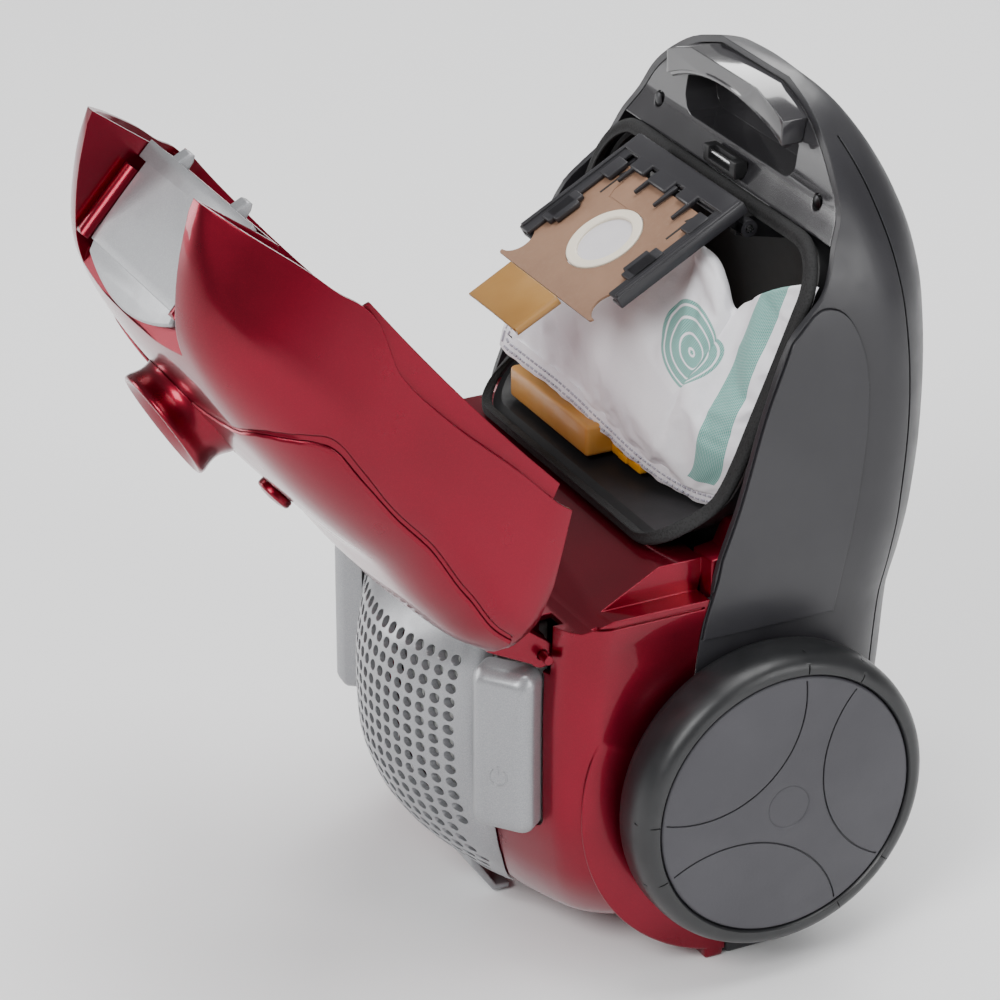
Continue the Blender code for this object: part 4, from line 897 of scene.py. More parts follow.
def wheel_arch(side):
    """The red dish round the inner face of a wheel: a concave flank and a rounded lip."""
    profile = [(0.0, 0.098)]
    profile += [(0.0760 + 0.0200 * t**1.35, 0.1015 + 0.0142 * t) for t in np.linspace(0.0, 1.0, 12)]
    profile += [(0.0965, 0.1158), (0.0962, 0.1163), (0.0952, 0.1165), (0.0, 0.1165)]
    dish = turned("arch", profile, 120)
    return move(dish, Matrix.Rotation(side * math.pi / 2, 4, "Y"))


PEDAL_HALF_X = 0.0165
PEDAL_HALF_Z = 0.0440


def pedal_place(side):
    turn = Matrix.Rotation(side * math.radians(38.5), 4, "Z")
    return Matrix.Translation((side * 0.0870, -0.1235, 0.0320)) @ turn


def pedal_cutter(side, grow, depth):
    """The rounded pocket a pedal sits in."""
    outline = rounded(PEDAL_HALF_X + grow, PEDAL_HALF_Z + grow, 0.006, 6)
    return move(prism("pocket", outline, -(0.008 + grow), 0.008 + depth, "y"), pedal_place(side))


def rear_shell():
    shell = keep(hull("rear_shell"), red_zone("red"))
    for side in (-1, 1):
        shell = join(shell, keep(wheel_arch(side), red_zone("red")))
        low, high = span(side, 0.096, 0.1165)
        heel = bevelled(box("heel", (low, -0.026, -0.099), (high, -0.0153, -0.050)), 0.002)
        shell = join(shell, heel)
    shell = join(shell, bevelled(box("rest", (-0.020, -0.062, -0.099), (0.020, -0.044, -0.080)), 0.002))
    shell = cut(shell, keep(hull("hollow", -WALL), red_zone_inner()))
    for side in (-1, 1):
        low, high = span(side, LEDGE_X, 0.30)
        shell = cut(shell, box("ledge", (low, -0.30, LEDGE_Z), (high, 0.10, 0.20)))
        low, high = span(side, 0.0865, 0.0995)
        shell = cut(shell, box("slot", (low, -0.16, 0.074), (high, -0.0985, 0.16)))
        shell = cut(shell, pedal_cutter(side, 0.0008, 0.020))
        for start, end in ((0.0775, 0.0860), (0.1000, 0.1070)):
            low, high = span(side, start, end)
            lug = rod("lug", 0.0075, low, high, "x", tuple(LID_HINGE.yz), 40)
            shell = join(shell, keep(lug, hull("trim", -0.0006)))
        low, high = span(side, 0.0790, 0.1055)
        shell = cut(shell, rod("bore", 0.0028, low, high, "x", tuple(LID_HINGE.yz), 24))
        shell = join(shell, corner_web(side))
    shell = cut(shell, ledge_groove())
    shell = cut(shell, box("window", (-0.0545, -0.20, -0.0425), (0.0545, -0.080, 0.0775)))
    shell = cut(shell, box("outlet", (-0.1006, -0.13, -0.0506), (-0.0874, -0.06, -0.0374)))
    skins = skin_from(hull("skin"), wheel_arch(-1), wheel_arch(1))
    place(shell, "shell_rear", "red_gloss", "root", "rear_shell", skins=skins)


def corner_web(side):
    """The red web that closes the corner between the ridge, the side wall and the gasket."""
    low, high = span(side, 0.1000, 0.1186)
    outline = [(-0.0290, 0.1000), (-0.0290, 0.1262), (-0.0185, 0.1275)]
    outline += [(-0.0130, 0.1400), (0.0, 0.1400), (0.0, 0.1000)]
    return bevelled(prism("web", outline, low, high), 0.0010, 2)


def ledge_groove():
    """The shadow line just under the ledge that the lid closes on."""
    band = cut(hull("band", 0.002), hull("core", -0.0018))
    slab = [(-0.30, 0.1022), (-0.0330, 0.1022), (-0.0330, 0.1036), (-0.30, 0.1036)]
    return keep(band, prism("slab", slab, -0.30, 0.30))


PANEL_TOP = ((0.0240, 0.2420), (0.0300, 0.2445), (0.0370, 0.2435), (0.0430, 0.2390))
PANEL_REAR = ((0.0490, 0.2280), (0.0530, 0.2110), (0.0530, 0.1840))
PANEL_REAR += ((0.0490, 0.1490), (0.0430, 0.1100), (0.0405, 0.0840))


def panel_outline(shrink):
    front = [(-0.0328 + shrink, 0.0840 + shrink), (-0.0315 + shrink, 0.0980), (-0.0275 + shrink, 0.1170)]
    front += shifted(flowing(SIDE_EDGE_KNOTS[1:5], 6), 0.0006 + shrink)
    top = [(y - 0.4 * shrink, z - shrink) for y, z in PANEL_TOP]
    return front + flowing(top + shifted(PANEL_REAR, -shrink), 6)


def lower_chassis():
    body = cut(hull("chassis"), above_body("above"), behind_seam("red"))
    for side in (-1, 1):
        low, high = span(side, 0.096, 0.1165)
        heel = bevelled(box("heel", (low, -0.0142, -0.099), (high, 0.022, -0.040)), 0.003)
        body = join(body, heel)
    body = cut(body, hull("inner", -WALL))
    for side in (-1, 1):
        low, high = span(side, 0.100, 0.30)
        pocket = cut(prism("pocket", panel_outline(0.0), low, high), hull("skin", -0.0016))
        body = cut(body, pocket)
        body = cut(body, under_groove(side))
    body = join(body, rod("socket", 0.0240, 0.0804, 0.0895, "y", CASTER_AXIS, 56))
    body = cut(body, rod("well", 0.0218, 0.0828, 0.1200, "y", CASTER_AXIS, 56))
    body = cut(body, rod("post_hole", 0.0048, 0.0700, 0.0900, "y", CASTER_AXIS, 24))
    skins = skin_from(hull("skin"))
    place(body, "shell_chassis", "dark_grey", "root", "lower_chassis", skins=skins)


def under_groove(side):
    """A shallow moulding line that runs the length of the chassis near its underside."""
    line = [(0.064, 0.000), (0.068, 0.060), (0.075, 0.130), (0.079, 0.190)]
    line = flowing(line + [(0.075, 0.245), (0.066, 0.290), (0.060, 0.312)], 6)
    outline = line + [(y + 0.0011, z) for y, z in reversed(line)]
    low, high = span(side, 0.04, 0.30)
    return cut(prism("line", outline, low, high), hull("core", -0.0009))


def side_panel(side, name, node):
    low, high = span(side, 0.100, 0.30)
    panel = prism("panel", panel_outline(0.0004), low, high)
    panel = cut(keep(panel, hull("outer", 0.0013)), hull("under", -0.0012))
    skins = skin_from(hull("outer", 0.0013))
    place(panel, name, "panel_grey", "root", node, skins=skins)


# ---------------------------------------------------------------- front deck and handle

RECESS_FLOOR_Y = 0.0660
HANDLE_HALF = 0.0575
SCREW_PLACES = ((-0.079, 0.0478, 0.283), (0.079, 0.0478, 0.283))


def deck_plate(name, lift, drop):
    upper = [(y - lift, z) for y, z in DECK_TOP]
    lower = [(y + drop, z) for y, z in reversed(DECK_TOP)]
    return prism(name, upper + lower, -0.30, 0.30)


def recess(name, grow, top, floor):
    """The finger recess under the handle, with rounded lower corners."""
    half = 0.0550 + grow
    rear = 0.2850 - grow
    right = arc((half - 0.010, rear + 0.010), 0.010, -90, 0, 8)
    right += [(half, 0.3030), (0.0400 + grow, 0.3150 + grow)]
    outline = right + [(-x, z) for x, z in reversed(right)]
    return prism(name, outline, top, floor, "y")


def front_deck():
    deck = keep(deck_plate("deck", 0.0, WALL), hull("fit", -WALL - 0.0004))
    well = recess("well", 0.0025, 0.0300, RECESS_FLOOR_Y + 0.0025)
    deck = join(deck, cut(well, deck_plate("above", 0.06, 0.0010)))
    deck = cut(deck, recess("hollow", 0.0, 0.0300, RECESS_FLOOR_Y))
    for x, y, z in SCREW_PLACES:
        deck = cut(deck, rod("hole", 0.0024, 0.03, 0.06, "y", (x, z), 24))
        deck = cut(deck, rod("seat", 0.0042, 0.03, y + 0.0003, "y", (x, z), 32))
    place(deck, "deck", "deck_gloss", "root", "front_deck")


def carry_handle():
    """The bar across the nose, with a rounded bright lip along its arch."""
    arch = [(HANDLE_HALF * (1 - i / 18), 0.3185 - 0.0130 * (1 - i / 18) ** 2) for i in range(37)]
    outline = [(-HANDLE_HALF, 0.345), (HANDLE_HALF, 0.345)] + arch
    bar = prism("handle", outline, 0.0385, 0.090, "y")
    bar = keep(bar, hull("nose", -WALL - 0.0004))
    bar = bevelled(cut(bar, deck_plate("surface", 0.0003, 0.05)), 0.0022, 3, 40.0)
    route = [(x * 0.985, 0.0400 + 0.0025 * (x / HANDLE_HALF) ** 2, z - 0.0004) for x, z in arch]
    lip = tube("lip", route, 0.0021, sides=12)
    bar = join(bar, lip)
    skins = skin_from(hull("nose", -WALL - 0.0004))
    place(bar, "handle", "deck_gloss", "root", "carry_handle", skins=skins)


def deck_screws():
    blackened = turned_metal("blackened_steel", (0.045, 0.045, 0.047), 0.34)
    for word, (x, y, z) in zip(("left", "right"), SCREW_PLACES):
        profile = [(0.0, 0.0), (0.0030, 0.0), (0.0035, 0.0004)]
        profile += [(0.0036, 0.0018), (0.0020, 0.0026), (0.0, 0.0026)]
        head = move(turned("head", profile, 32), Matrix.Rotation(math.pi / 2, 4, "X"))
        for turn in (30, 120):
            slot_bar = box("slot", (-0.0017, -0.001, -0.0004), (0.0017, 0.001, 0.0004))
            head = cut(head, move(slot_bar, Matrix.Rotation(math.radians(turn), 4, "Y")))
        head = move(head, Matrix.Translation((x, y, z)))
        place(head, "screw_" + word, "steel", "root", "deck_screw_" + word, material=blackened)


def latch_keeper():
    keeper = bevelled(box("keeper", (-0.0160, 0.0370, 0.2736), (0.0160, 0.0442, 0.2826)), 0.0008)
    keeper = cut(keeper, box("mouth", (-0.0105, 0.0350, 0.2762), (0.0105, 0.0410, 0.2900)))
    keeper = cut(keeper, deck_plate("surface", 0.0003, 0.03))
    place(keeper, "latch_block", "black_plastic", "root", "latch_keeper")
    bar = rod("bar", 0.0011, -0.0125, 0.0125, "x", (0.0392, 0.2795), 24)
    place(bar, "latch_bar", "steel", "root")


# ---------------------------------------------------------------- lid


def below_rim(name, lift):
    """Everything under the lid's open rim."""
    front = ((0.0378, 0.2710), (0.0424, 0.2870), (0.0476, 0.3130), (0.0526, 0.3380))
    edge = flowing(SIDE_EDGE_KNOTS[:8] + front, 4)
    outline = [(-0.0296 - lift, 0.05)] + shifted(edge, -lift)
    outline += [(0.0526 - lift, 0.50), (0.30, 0.50), (0.30, 0.05)]
    return prism(name, outline, -0.30, 0.30)


def notch(name, grow):
    """The room between the horns, stepped round the lever."""
    knots = ((-0.0245, 0.3075), (-0.0125, 0.3075), (-0.0125, 0.2860))
    knots += ((0.2, 0.2860), (0.2, 0.4), (-0.0245, 0.4))
    outline = [
        (y + math.copysign(grow, y - 0.040), z + math.copysign(grow, z - 0.330)) for y, z in knots
    ]
    return prism(name, outline, -HORN_INNER_X - grow, HORN_INNER_X + grow)


def lip(side):
    """One side's inner lip, which locates the closed lid inside the body's wall, with its root."""
    low, high = span(side, 0.090, 0.140)
    knots = ((-0.0195, 0.1280), (-0.0085, 0.1565), (0.0060, 0.1910))
    edge = flowing(knots + ((0.0225, 0.2265), (0.0300, 0.2415), (0.0368, 0.2545)), 5)
    outline = [(-0.0600, 0.1280), (-0.0600, 0.2200), (0.0130, 0.2540), (0.0330, 0.2575)]
    outline += reversed(edge)
    blade = keep(prism("lip", outline, low, high), dome("lip_outer", -0.0055))
    root_line = flowing(SIDE_EDGE_KNOTS[1:8], 4)
    outline = shifted(root_line, -0.0030) + shifted(reversed(root_line), -0.0100)
    root = keep(prism("root", outline, low, high), dome("root_outer", -0.0020))
    return cut(join(blade, root), dome("lip_inner", -0.0073))


def horn_bead(side):
    """The half-round rib down the inner side of a horn, just over the edge of the latch lever."""
    route = flowing([(0.0310, 0.3033), (0.0180, 0.3073), (0.0000, 0.3127), (-0.0070, 0.3147)], 5)
    rib = tube("rib", [(side * 0.0568, y, z) for y, z in route], 0.0048, sides=24)
    room = [(0.0600, 0.2944), (-0.0200, 0.3184), (-0.0200, 0.2700), (0.0600, 0.2700)]
    return cut(rib, prism("lever", room, -0.2, 0.2))


def lid_shell():
    shell = cut(dome("lid"), notch("notch", 0.0))
    shell = cut(shell, cut(dome("space", -WALL, WALL), notch("wall", 0.0025)))
    shell = cut(shell, below_rim("below", 0.0008))
    ridge = [(-0.1070, 0.05), (-0.1070, 0.1040), (-0.0540, 0.1400), (0.10, 0.1400), (0.10, 0.05)]
    shell = cut(shell, prism("ridge", ridge, -0.1115, 0.1115))
    slant = [(0.10, 0.1480), (-0.0810, 0.1070), (-0.0810, 0.05), (0.10, 0.05)]
    shell = cut(shell, prism("slant", slant, -0.30, 0.30))
    for side in (-1, 1):
        shell = join(shell, lip(side))
        shell = join(shell, keep(horn_bead(side), dome("inside", -0.0004)))
    shell = cut(shell, move(rod("port", 0.0240, -0.06, 0.06, "z", (0.0, 0.0), 64), PORT_MATRIX))
    shell = cut(shell, move(rod("window", 0.0084, -0.03, 0.03, "z", (0.0, 0.0), 40), KNOB_MATRIX))
    for side in (-1, 1):
        low, high = span(side, 0.0880, 0.0980)
        outline = [(-0.1150, 0.0850), (-0.1020, 0.0850), (-0.0960, 0.1130), (-0.1140, 0.1150)]
        arm = prism("arm", outline, low, high)
        ear = rod("ear", 0.0068, low, high, "x", tuple(LID_HINGE.yz), 36)
        shell = join(shell, join(arm, ear))
        shell = cut(shell, rod("bore", 0.0028, low - 0.002, high + 0.002, "x", tuple(LID_HINGE.yz), 24))
        low, high = span(side, 0.0500, 0.0660)
        shell = cut(shell, rod("pivot", 0.0026, low, high, "x", LEVER_PIVOT, 24))
    shell = cut(shell, lid_waist())
    skins = skin_from(dome("skin"), dome("space", -WALL, WALL), dome("lip_skin", -0.0055))
    place(shell, "lid_body", "red_gloss", "lid", "lid_shell", matrix=LID_MATRIX, skins=skins)


def panel_curve(grow=0.0):
    """The lid's top overlay, seen square on: a short front edge and long flowing sides."""
    right = [(0.0400, 0.2745), (0.0700, 0.2745), (0.0875, 0.2720), (0.1000, 0.2625)]
    right += [(0.1085, 0.2520), (0.1120, 0.2430), (0.1132, 0.2280), (0.1130, 0.1990)]
    right += [(0.1150, 0.1600), (0.1165, 0.1370), (0.1168, 0.1180)]
    right = [(0.0, 0.2745)] + flowing(right, 5)
    left = [(-x - grow, z + grow) for x, z in reversed(right[1:])]
    return [(x + grow, z + grow) for x, z in right] + left


def lid_waist():
    """A fine groove round the overlay."""
    band = prism("band", panel_curve(0.0009), -0.20, -0.020, "y")
    band = cut(band, prism("core", panel_curve(-0.0001), -0.21, -0.010, "y"))
    return cut(band, dome("floor", -0.0011))


def lid_top_panel():
    panel = prism("panel", panel_curve(), -0.20, -0.020, "y")
    panel = cut(keep(panel, dome("outer", 0.0016)), dome("inner", 0.0003))
    panel = cut(panel, move(rod("window", 0.0100, -0.03, 0.05, "z", (0.0, 0.0), 48), KNOB_MATRIX))
    panel = cut(panel, move(rod("port", 0.0315, -0.05, 0.05, "z", (0.0, 0.0), 96), PORT_MATRIX))
    skins = skin_from(dome("outer", 0.0016))
    ready = {"matrix": LID_MATRIX, "skins": skins}
    place(panel, "lid_overlay", "red_gloss", "lid", "lid_top_panel", **ready)


def hose_port():
    profile = [(0.0205, -0.0100), (0.0236, -0.0140), (0.0308, -0.0140)]
    profile += flowing(((0.0296, -0.0100), (0.0276, -0.0050), (0.0274, -0.0010), (0.0290, 0.0050)), 4)
    profile += arc((0.0276, 0.0064), 0.0015, 0, 120, 6)
    profile += [(0.0225, 0.0052), (0.0209, 0.0042), (0.0205, 0.0030)]
    ring = cut(move(turned("ring", profile, 96), PORT_MATRIX), dome_skin())
    place(ring, "hose_collar", "red_gloss", "lid", "hose_port_ring", matrix=LID_MATRIX)
    profile = [(0.0150, -0.0560), (0.0160, -0.0566), (0.0175, -0.0560), (0.0200, -0.0130)]
    profile += [(0.0200, 0.0015), (0.0196, 0.0020), (0.0184, 0.0020)]
    profile += [(0.0180, 0.0015), (0.0175, -0.0130)]
    nozzle = move(turned("nozzle", profile, 72), PORT_MATRIX)
    place(nozzle, "inlet_spout", "black_plastic", "lid", "inlet_nozzle", matrix=LID_MATRIX)


def dome_skin():
    """The lid's wall round the hose port."""
    skin = cut(dome("skin", 0.0003), dome("core", -WALL - 0.0003))
    return cut(skin, move(rod("hole", 0.0238, -0.06, 0.06, "z", (0.0, 0.0), 96), PORT_MATRIX))


def indicator():
    profile = [(0.0, 0.0), (0.0080, 0.0), (0.0080, 0.0070), (0.0092, 0.0076), (0.0096, 0.0084)]
    profile += [(0.0096, 0.0106), (0.0090, 0.0115), (0.0060, 0.0125), (0.0, 0.0130)]
    knob = move(turned("knob", profile, 64), KNOB_MATRIX)
    place(knob, "full_indicator", "red_gloss", "lid", "bag_full_indicator", matrix=LID_MATRIX)


def lever_bolts():
    for side, word in ((-1, "left"), (1, "right")):
        low, high = span(side, 0.0485, 0.0636)
        bolt = bevelled(rod("bolt", 0.0022, low, high, "x", LEVER_PIVOT, 32), 0.0004)
        place(bolt, "lever_pin_" + word, "steel", "lid", "lever_bolt_" + word, matrix=LID_MATRIX)


LEVER_PANEL_HALF = 0.0514


def release_lever():
    """The silver latch lever: a panel between the horns, a curved push plate and two hooks inside."""
    half = HORN_INNER_X - 0.0007
    top = flowing(((-0.0060, 0.3137), (0.0200, 0.3064), (0.0460, 0.2982)), 6)
    under = flowing(((0.0440, 0.2952), (0.0195, 0.3034), (-0.0068, 0.3107)), 6)
    lever = bevelled(prism("panel", top + under, -half, half), 0.0007)
    for side in (-1, 1):
        low, high = span(side, LEVER_PANEL_HALF, 0.07)
        lever = cut(lever, box("rib_room", (low, -0.0100, 0.2850), (high, 0.0365, 0.3300)))
    front = [(x, -0.0225 + 0.0105 * (x / 0.050) ** 2) for x in np.linspace(-0.050, 0.050, 33)]
    push = prism("push", front + [(0.050, -0.0040), (-0.050, -0.0040)], 0.3094, 0.3132, "z")
    lever = join(lever, bevelled(push, 0.0013, 4))
    for side in (-1, 1):
        low, high = span(side, 0.0300, 0.0380)
        hook = [(0.0400, 0.2980), (0.0400, 0.2905), (0.0470, 0.2890)]
        hook += [(0.0505, 0.2895), (0.0505, 0.2925), (0.0440, 0.2975)]
        lever = join(lever, bevelled(prism("hook", hook, low, high), 0.0006))
        low, high = span(side, 0.0480, 0.0560)
        lever = join(lever, rod("ear", 0.0068, low, high, "x", LEVER_PIVOT, 36))
        low, high = span(side, 0.0460, 0.0590)
        lever = cut(lever, rod("bore", 0.0026, low, high, "x", LEVER_PIVOT, 24))
    place(lever, "latch_lever", "silver_paint", "lever", "release_lever", matrix=LID_MATRIX)


# ---------------------------------------------------------------- rear: grille, clip, pedals

# Grille stations: height z, half width, edge y, middle y.
GRILLE = (
    (0.0910, 0.057, -0.112, -0.117),
    (0.0850, 0.060, -0.118, -0.127),
    (0.0760, 0.062, -0.124, -0.138),
    (0.0610, 0.063, -0.128, -0.149),
    (0.0300, 0.063, -0.130, -0.155),
    (0.0000, 0.062, -0.129, -0.154),
    (-0.0270, 0.060, -0.124, -0.146),
    (-0.0480, 0.056, -0.114, -0.133),
    (-0.0640, 0.049, -0.102, -0.118),
    (-0.0760, 0.040, -0.094, -0.105),
)
GRILLE_BACK_Y = -0.060
HOLE_PITCH = 0.0075
HOLE_RADIUS = 0.00275


def grille_row(z):
    """Half width, edge y and middle y of the grille at height z."""
    rows = np.array(GRILLE[::-1])
    return [float(pchip(rows[:, 0], rows[:, k], np.array([z]))[0]) for k in (1, 2, 3)]


def grille_y(x, z):
    half, edge, middle = grille_row(z)
    return edge + (middle - edge) * (1 - min(1.0, (x / half) ** 2))


def grille_form(name, grow):
    rings = []
    first, last = GRILLE[0][0], GRILLE[-1][0]
    centre = (first + last) / 2
    stretch = 1.0 + grow / ((first - last) / 2)
    steps = 0.5 - 0.5 * np.cos(math.pi * np.linspace(0.0, 1.0, 40))
    for z in first + (last - first) * (0.4 * np.linspace(0, 1, 40) + 0.6 * steps):
        half, edge, middle = grille_row(z)
        half += grow
        height = centre + (z - centre) * stretch
        ring = []
        for t in np.linspace(-1.0, 1.0, 41):
            if abs(t) > 0.8:
                x = half * math.sin(t * math.pi / 2)
            else:
                x = half * t * math.sin(0.8 * math.pi / 2) / 0.8
            shoulder = 0.004 * max(0.0, (abs(x / half) - 0.93) / 0.07) ** 2
            ring.append((x, edge + (middle - edge) * (1 - (x / half) ** 2) - grow + shoulder, height))
        ring += [(half, GRILLE_BACK_Y, height), (-half, GRILLE_BACK_Y, height)]
        rings.append(ring)
    return loft(name, rings)


def grille_holes():
    """One cutter for all the grille's round holes, in straight rows."""
    bars = []
    for row in range(19):
        z = 0.0660 - row * HOLE_PITCH
        half = grille_row(z)[0]
        for column in range(-7, 8):
            x = column * HOLE_PITCH
            corner = abs(column) + max(0, row - 14) * 1.1
            if abs(x) > half - 0.0075 or corner > 9.2:
                continue
            y = grille_y(x, z)
            bars.append(rod("hole", HOLE_RADIUS, y - 0.006, y + 0.012, "y", (x, z), 14))
    return merge("holes", bars)


def exhaust_grille():
    grille = cut(grille_form("grille", 0.0), grille_form("space", -0.0025), hull("body", 0.0005))
    grille = cut(grille, box("notch", (-0.0142, -0.14, -0.0900), (0.0142, -0.05, -0.0694)))
    grille = cut(grille, grille_holes())
    skins = skin_from(grille_form("skin", 0.0))
    place(grille, "grille_cover", "silver_paint", "grille", "exhaust_grille", skins=skins)


def grille_clip():
    outline = [(-0.1075, -0.0700), (-0.1045, -0.0800), (-0.0930, -0.0965), (-0.0840, -0.0965)]
    outline += [(-0.0840, -0.0935), (-0.0915, -0.0930), (-0.1005, -0.0790), (-0.1035, -0.0700)]
    clip = bevelled(prism("clip", outline, -0.0130, 0.0130), 0.0008)
    place(clip, "grille_catch", "silver_paint", "clip", "grille_clip")


def pedal(side, name, node, body):
    """A pillow-shaped pedal with a raised generic symbol: a power ring, or a reel spiral."""
    insets = ((0.0080, 0.0), (-0.0012, 0.0), (-0.0030, 0.0006))
    insets += ((-0.0064, 0.0034), (-0.0074, 0.0048), (-0.0079, 0.0074))
    rings = []
    for y, inset in insets:
        radius = max(0.0070 - inset * 0.5, 0.0030)
        flat = rounded(PEDAL_HALF_X - inset, PEDAL_HALF_Z - inset, radius, 7)
        rings.append([(x, y, z) for x, z in flat])
    block = join(loft("pedal", rings), *pedal_symbol(side))
    place(move(block, pedal_place(side)), name, "silver_paint", body, node, angle=24.0)


def pedal_symbol(side):
    centre_z = -0.0120
    lift = -0.0080
    line = 0.00045
    if side > 0:
        ring = [(x, lift, centre_z + z) for x, z in arc((0.0, 0.0), 0.0046, -230, 50, 28)]
        stem = [(0.0, lift, centre_z + 0.0015), (0.0, lift, centre_z + 0.0058)]
        return [tube("ring", ring, line, sides=8), tube("stem", stem, line, sides=8)]
    spiral = []
    for a in np.linspace(0.0, 4.2 * math.pi, 60):
        reach = 0.0012 + 0.00030 * a
        spiral.append((reach * math.cos(a), lift, centre_z + reach * math.sin(a)))
    return [tube("spiral", spiral, line, sides=8)]


def cord_outlet():
    profile = [(0.0045, -0.004), (0.0062, -0.004), (0.0062, 0.006), (0.0082, 0.006), (0.0085, 0.0066)]
    profile += [(0.0085, 0.0084), (0.0080, 0.009), (0.0058, 0.009), (0.0048, 0.0082)]
    gland = move(turned("gland", profile, 48), Matrix.Rotation(math.pi / 2, 4, "X"))
    gland = move(gland, Matrix.Translation((-0.0940, -0.1010, -0.0440)))
    place(gland, "cord_gland", "black_plastic", "root", "cord_outlet")


# ---------------------------------------------------------------- wheels


def wheel(side, word):
    body = "wheel_" + word
    width = 0.0295
    profile = [(0.0693, 0.0), (0.0740, 0.0), (0.0762, 0.0006), (0.0778, 0.0018), (0.0788, 0.0036)]
    profile += [(0.0795, 0.0060), (0.0800, 0.0080)]
    for radius, inset in (
        (0.0800, 0.0130),
        (0.0798, 0.0100),
        (0.0791, 0.0066),
        (0.0778, 0.0036),
        (0.0762, 0.0016),
        (0.0744, 0.0005),
        (0.0726, 0.0),
        (0.0704, 0.0001),
        (0.0698, 0.0008),
        (0.0693, 0.0025),
    ):
        profile.append((radius, width - inset))
    lay = Matrix.Rotation(side * math.pi / 2, 4, "Y")
    ring = turned("tyre", profile, 144)
    for lobe in (0, 120, 240):
        for spread in (-47, 47):
            ring = cut(ring, tyre_nick(math.radians(lobe + spread)))
    ring = move(move(ring, Matrix.Translation((0, 0, 0.1185))), wheel_turn(side))
    place(move(ring, lay), "tyre_ring_" + word, "tyre_rubber", body, "tyre_" + word)
    face = crowned(0.1500, np.linspace(0.0125, 0.0665, 16))
    profile = [(0.0, 0.1497), (0.0108, 0.1497), (0.0112, 0.1494), (0.0116, 0.1497)] + face
    profile += [(0.0680, 0.1472), (0.0687, 0.1466), (0.0690, 0.1456), (0.0690, 0.1220), (0.0640, 0.1230)]
    profile += [(0.0600, 0.1330), (0.0180, 0.1330), (0.0160, 0.1195), (0.0120, 0.1195), (0.0063, 0.1205)]
    profile += [(0.0063, 0.1442), (0.0, 0.1446)]
    disc = turned("disc", profile, 144)
    for lobe in (0, 120, 240):
        disc = cut(disc, lobe_groove(math.radians(lobe)))
    disc = move(move(disc, wheel_turn(side)), lay)
    place(disc, "wheel_face_" + word, "wheel_grey", body, "wheel_disc_" + word)


def crowned(height, radii):
    """The wheel face's gentle crown, as a profile."""
    return [(r, height - 0.0026 * (r / 0.0665) ** 2.2) for r in radii]


def wheel_turn(side):
    """A turn that points the wheel's first lobe up and to the lid side."""
    return Matrix.Rotation(math.radians(99.0 if side > 0 else 81.0), 4, "Z")


def lobe_groove(angle):
    """A fine circular groove that crosses the rim, one of three round the hub."""
    outer, inner, distance = 0.0595, 0.0586, 0.0790
    ring = turned("groove", [(inner, 0.1440), (outer, 0.1440), (outer, 0.1560), (inner, 0.1560)], 160)
    move(ring, Matrix.Translation((distance * math.cos(angle), distance * math.sin(angle), 0.0)))
    ring = keep(ring, rod("reach", 0.0668, 0.12, 0.17, "z", (0.0, 0.0), 96))
    return cut(ring, disc_floor())


def disc_floor():
    """The wheel face lowered to the bottom of its grooves."""
    face = crowned(0.1489, np.linspace(0.004, 0.0720, 18))
    return turned("floor", [(0.0, 0.1489)] + face + [(0.0720, 0.1300), (0.0, 0.1300)], 96)


def tyre_nick(angle):
    """A fine cut across the tyre's shoulder."""
    nick = box("nick", (0.0705, -0.00035, 0.0282), (0.0830, 0.00035, 0.0400))
    slant = box("slant", (0.0790, -0.00035, 0.0200), (0.0830, 0.00035, 0.0400))
    return move(join(nick, slant), Matrix.Rotation(angle, 4, "Z"))


def caster():
    plate = bevelled(rod("plate", 0.0190, 0.0835, 0.0870, "y", CASTER_AXIS, 64), 0.0006)
    fork = join(plate, rod("post", 0.0044, 0.0760, 0.0850, "y", CASTER_AXIS, 32))
    for side in (-1, 1):
        low, high = span(side, 0.0085, 0.0115)
        outline = flowing(((0.0850, 0.2960), (0.0980, 0.2850), (0.1040, 0.2790), (0.1050, 0.2740)), 5)
        outline += flowing(((0.1030, 0.2690), (0.0950, 0.2675), (0.0850, 0.2670)), 4)
        fork = join(fork, prism("cheek", outline, low, high))
        fork = cut(fork, rod("bore", 0.0021, low - 0.001, high + 0.001, "x", CASTER_AXLE, 24))
    place(fork, "caster_bracket", "black_plastic", "caster", "caster_fork")
    profile = [(0.0025, -0.0078), (0.0100, -0.0078), (0.0113, -0.0072), (0.0120, -0.0056)]
    profile += [(0.0120, 0.0056), (0.0113, 0.0072), (0.0100, 0.0078), (0.0025, 0.0078)]
    roller = move(turned("roller", profile, 64), Matrix.Rotation(math.pi / 2, 4, "Y"))
    roller = move(roller, Matrix.Translation((0.0, *CASTER_AXLE)))
    place(roller, "caster_roller", "wheel_grey", "caster_wheel", "caster_wheel")


# ---------------------------------------------------------------- bag chamber

RIM_HALF_WIDTH = 0.1060
RIM_REAR_Z = 0.128
RIM_FRONT_Z = 0.2690
RIM_CORNER = 0.026
LINER_FLOOR_Y = 0.078


def rim_y(z):
    heights = [point[1] for point in RIM_PROFILE]
    return float(np.interp(z, heights, [point[0] for point in RIM_PROFILE]))


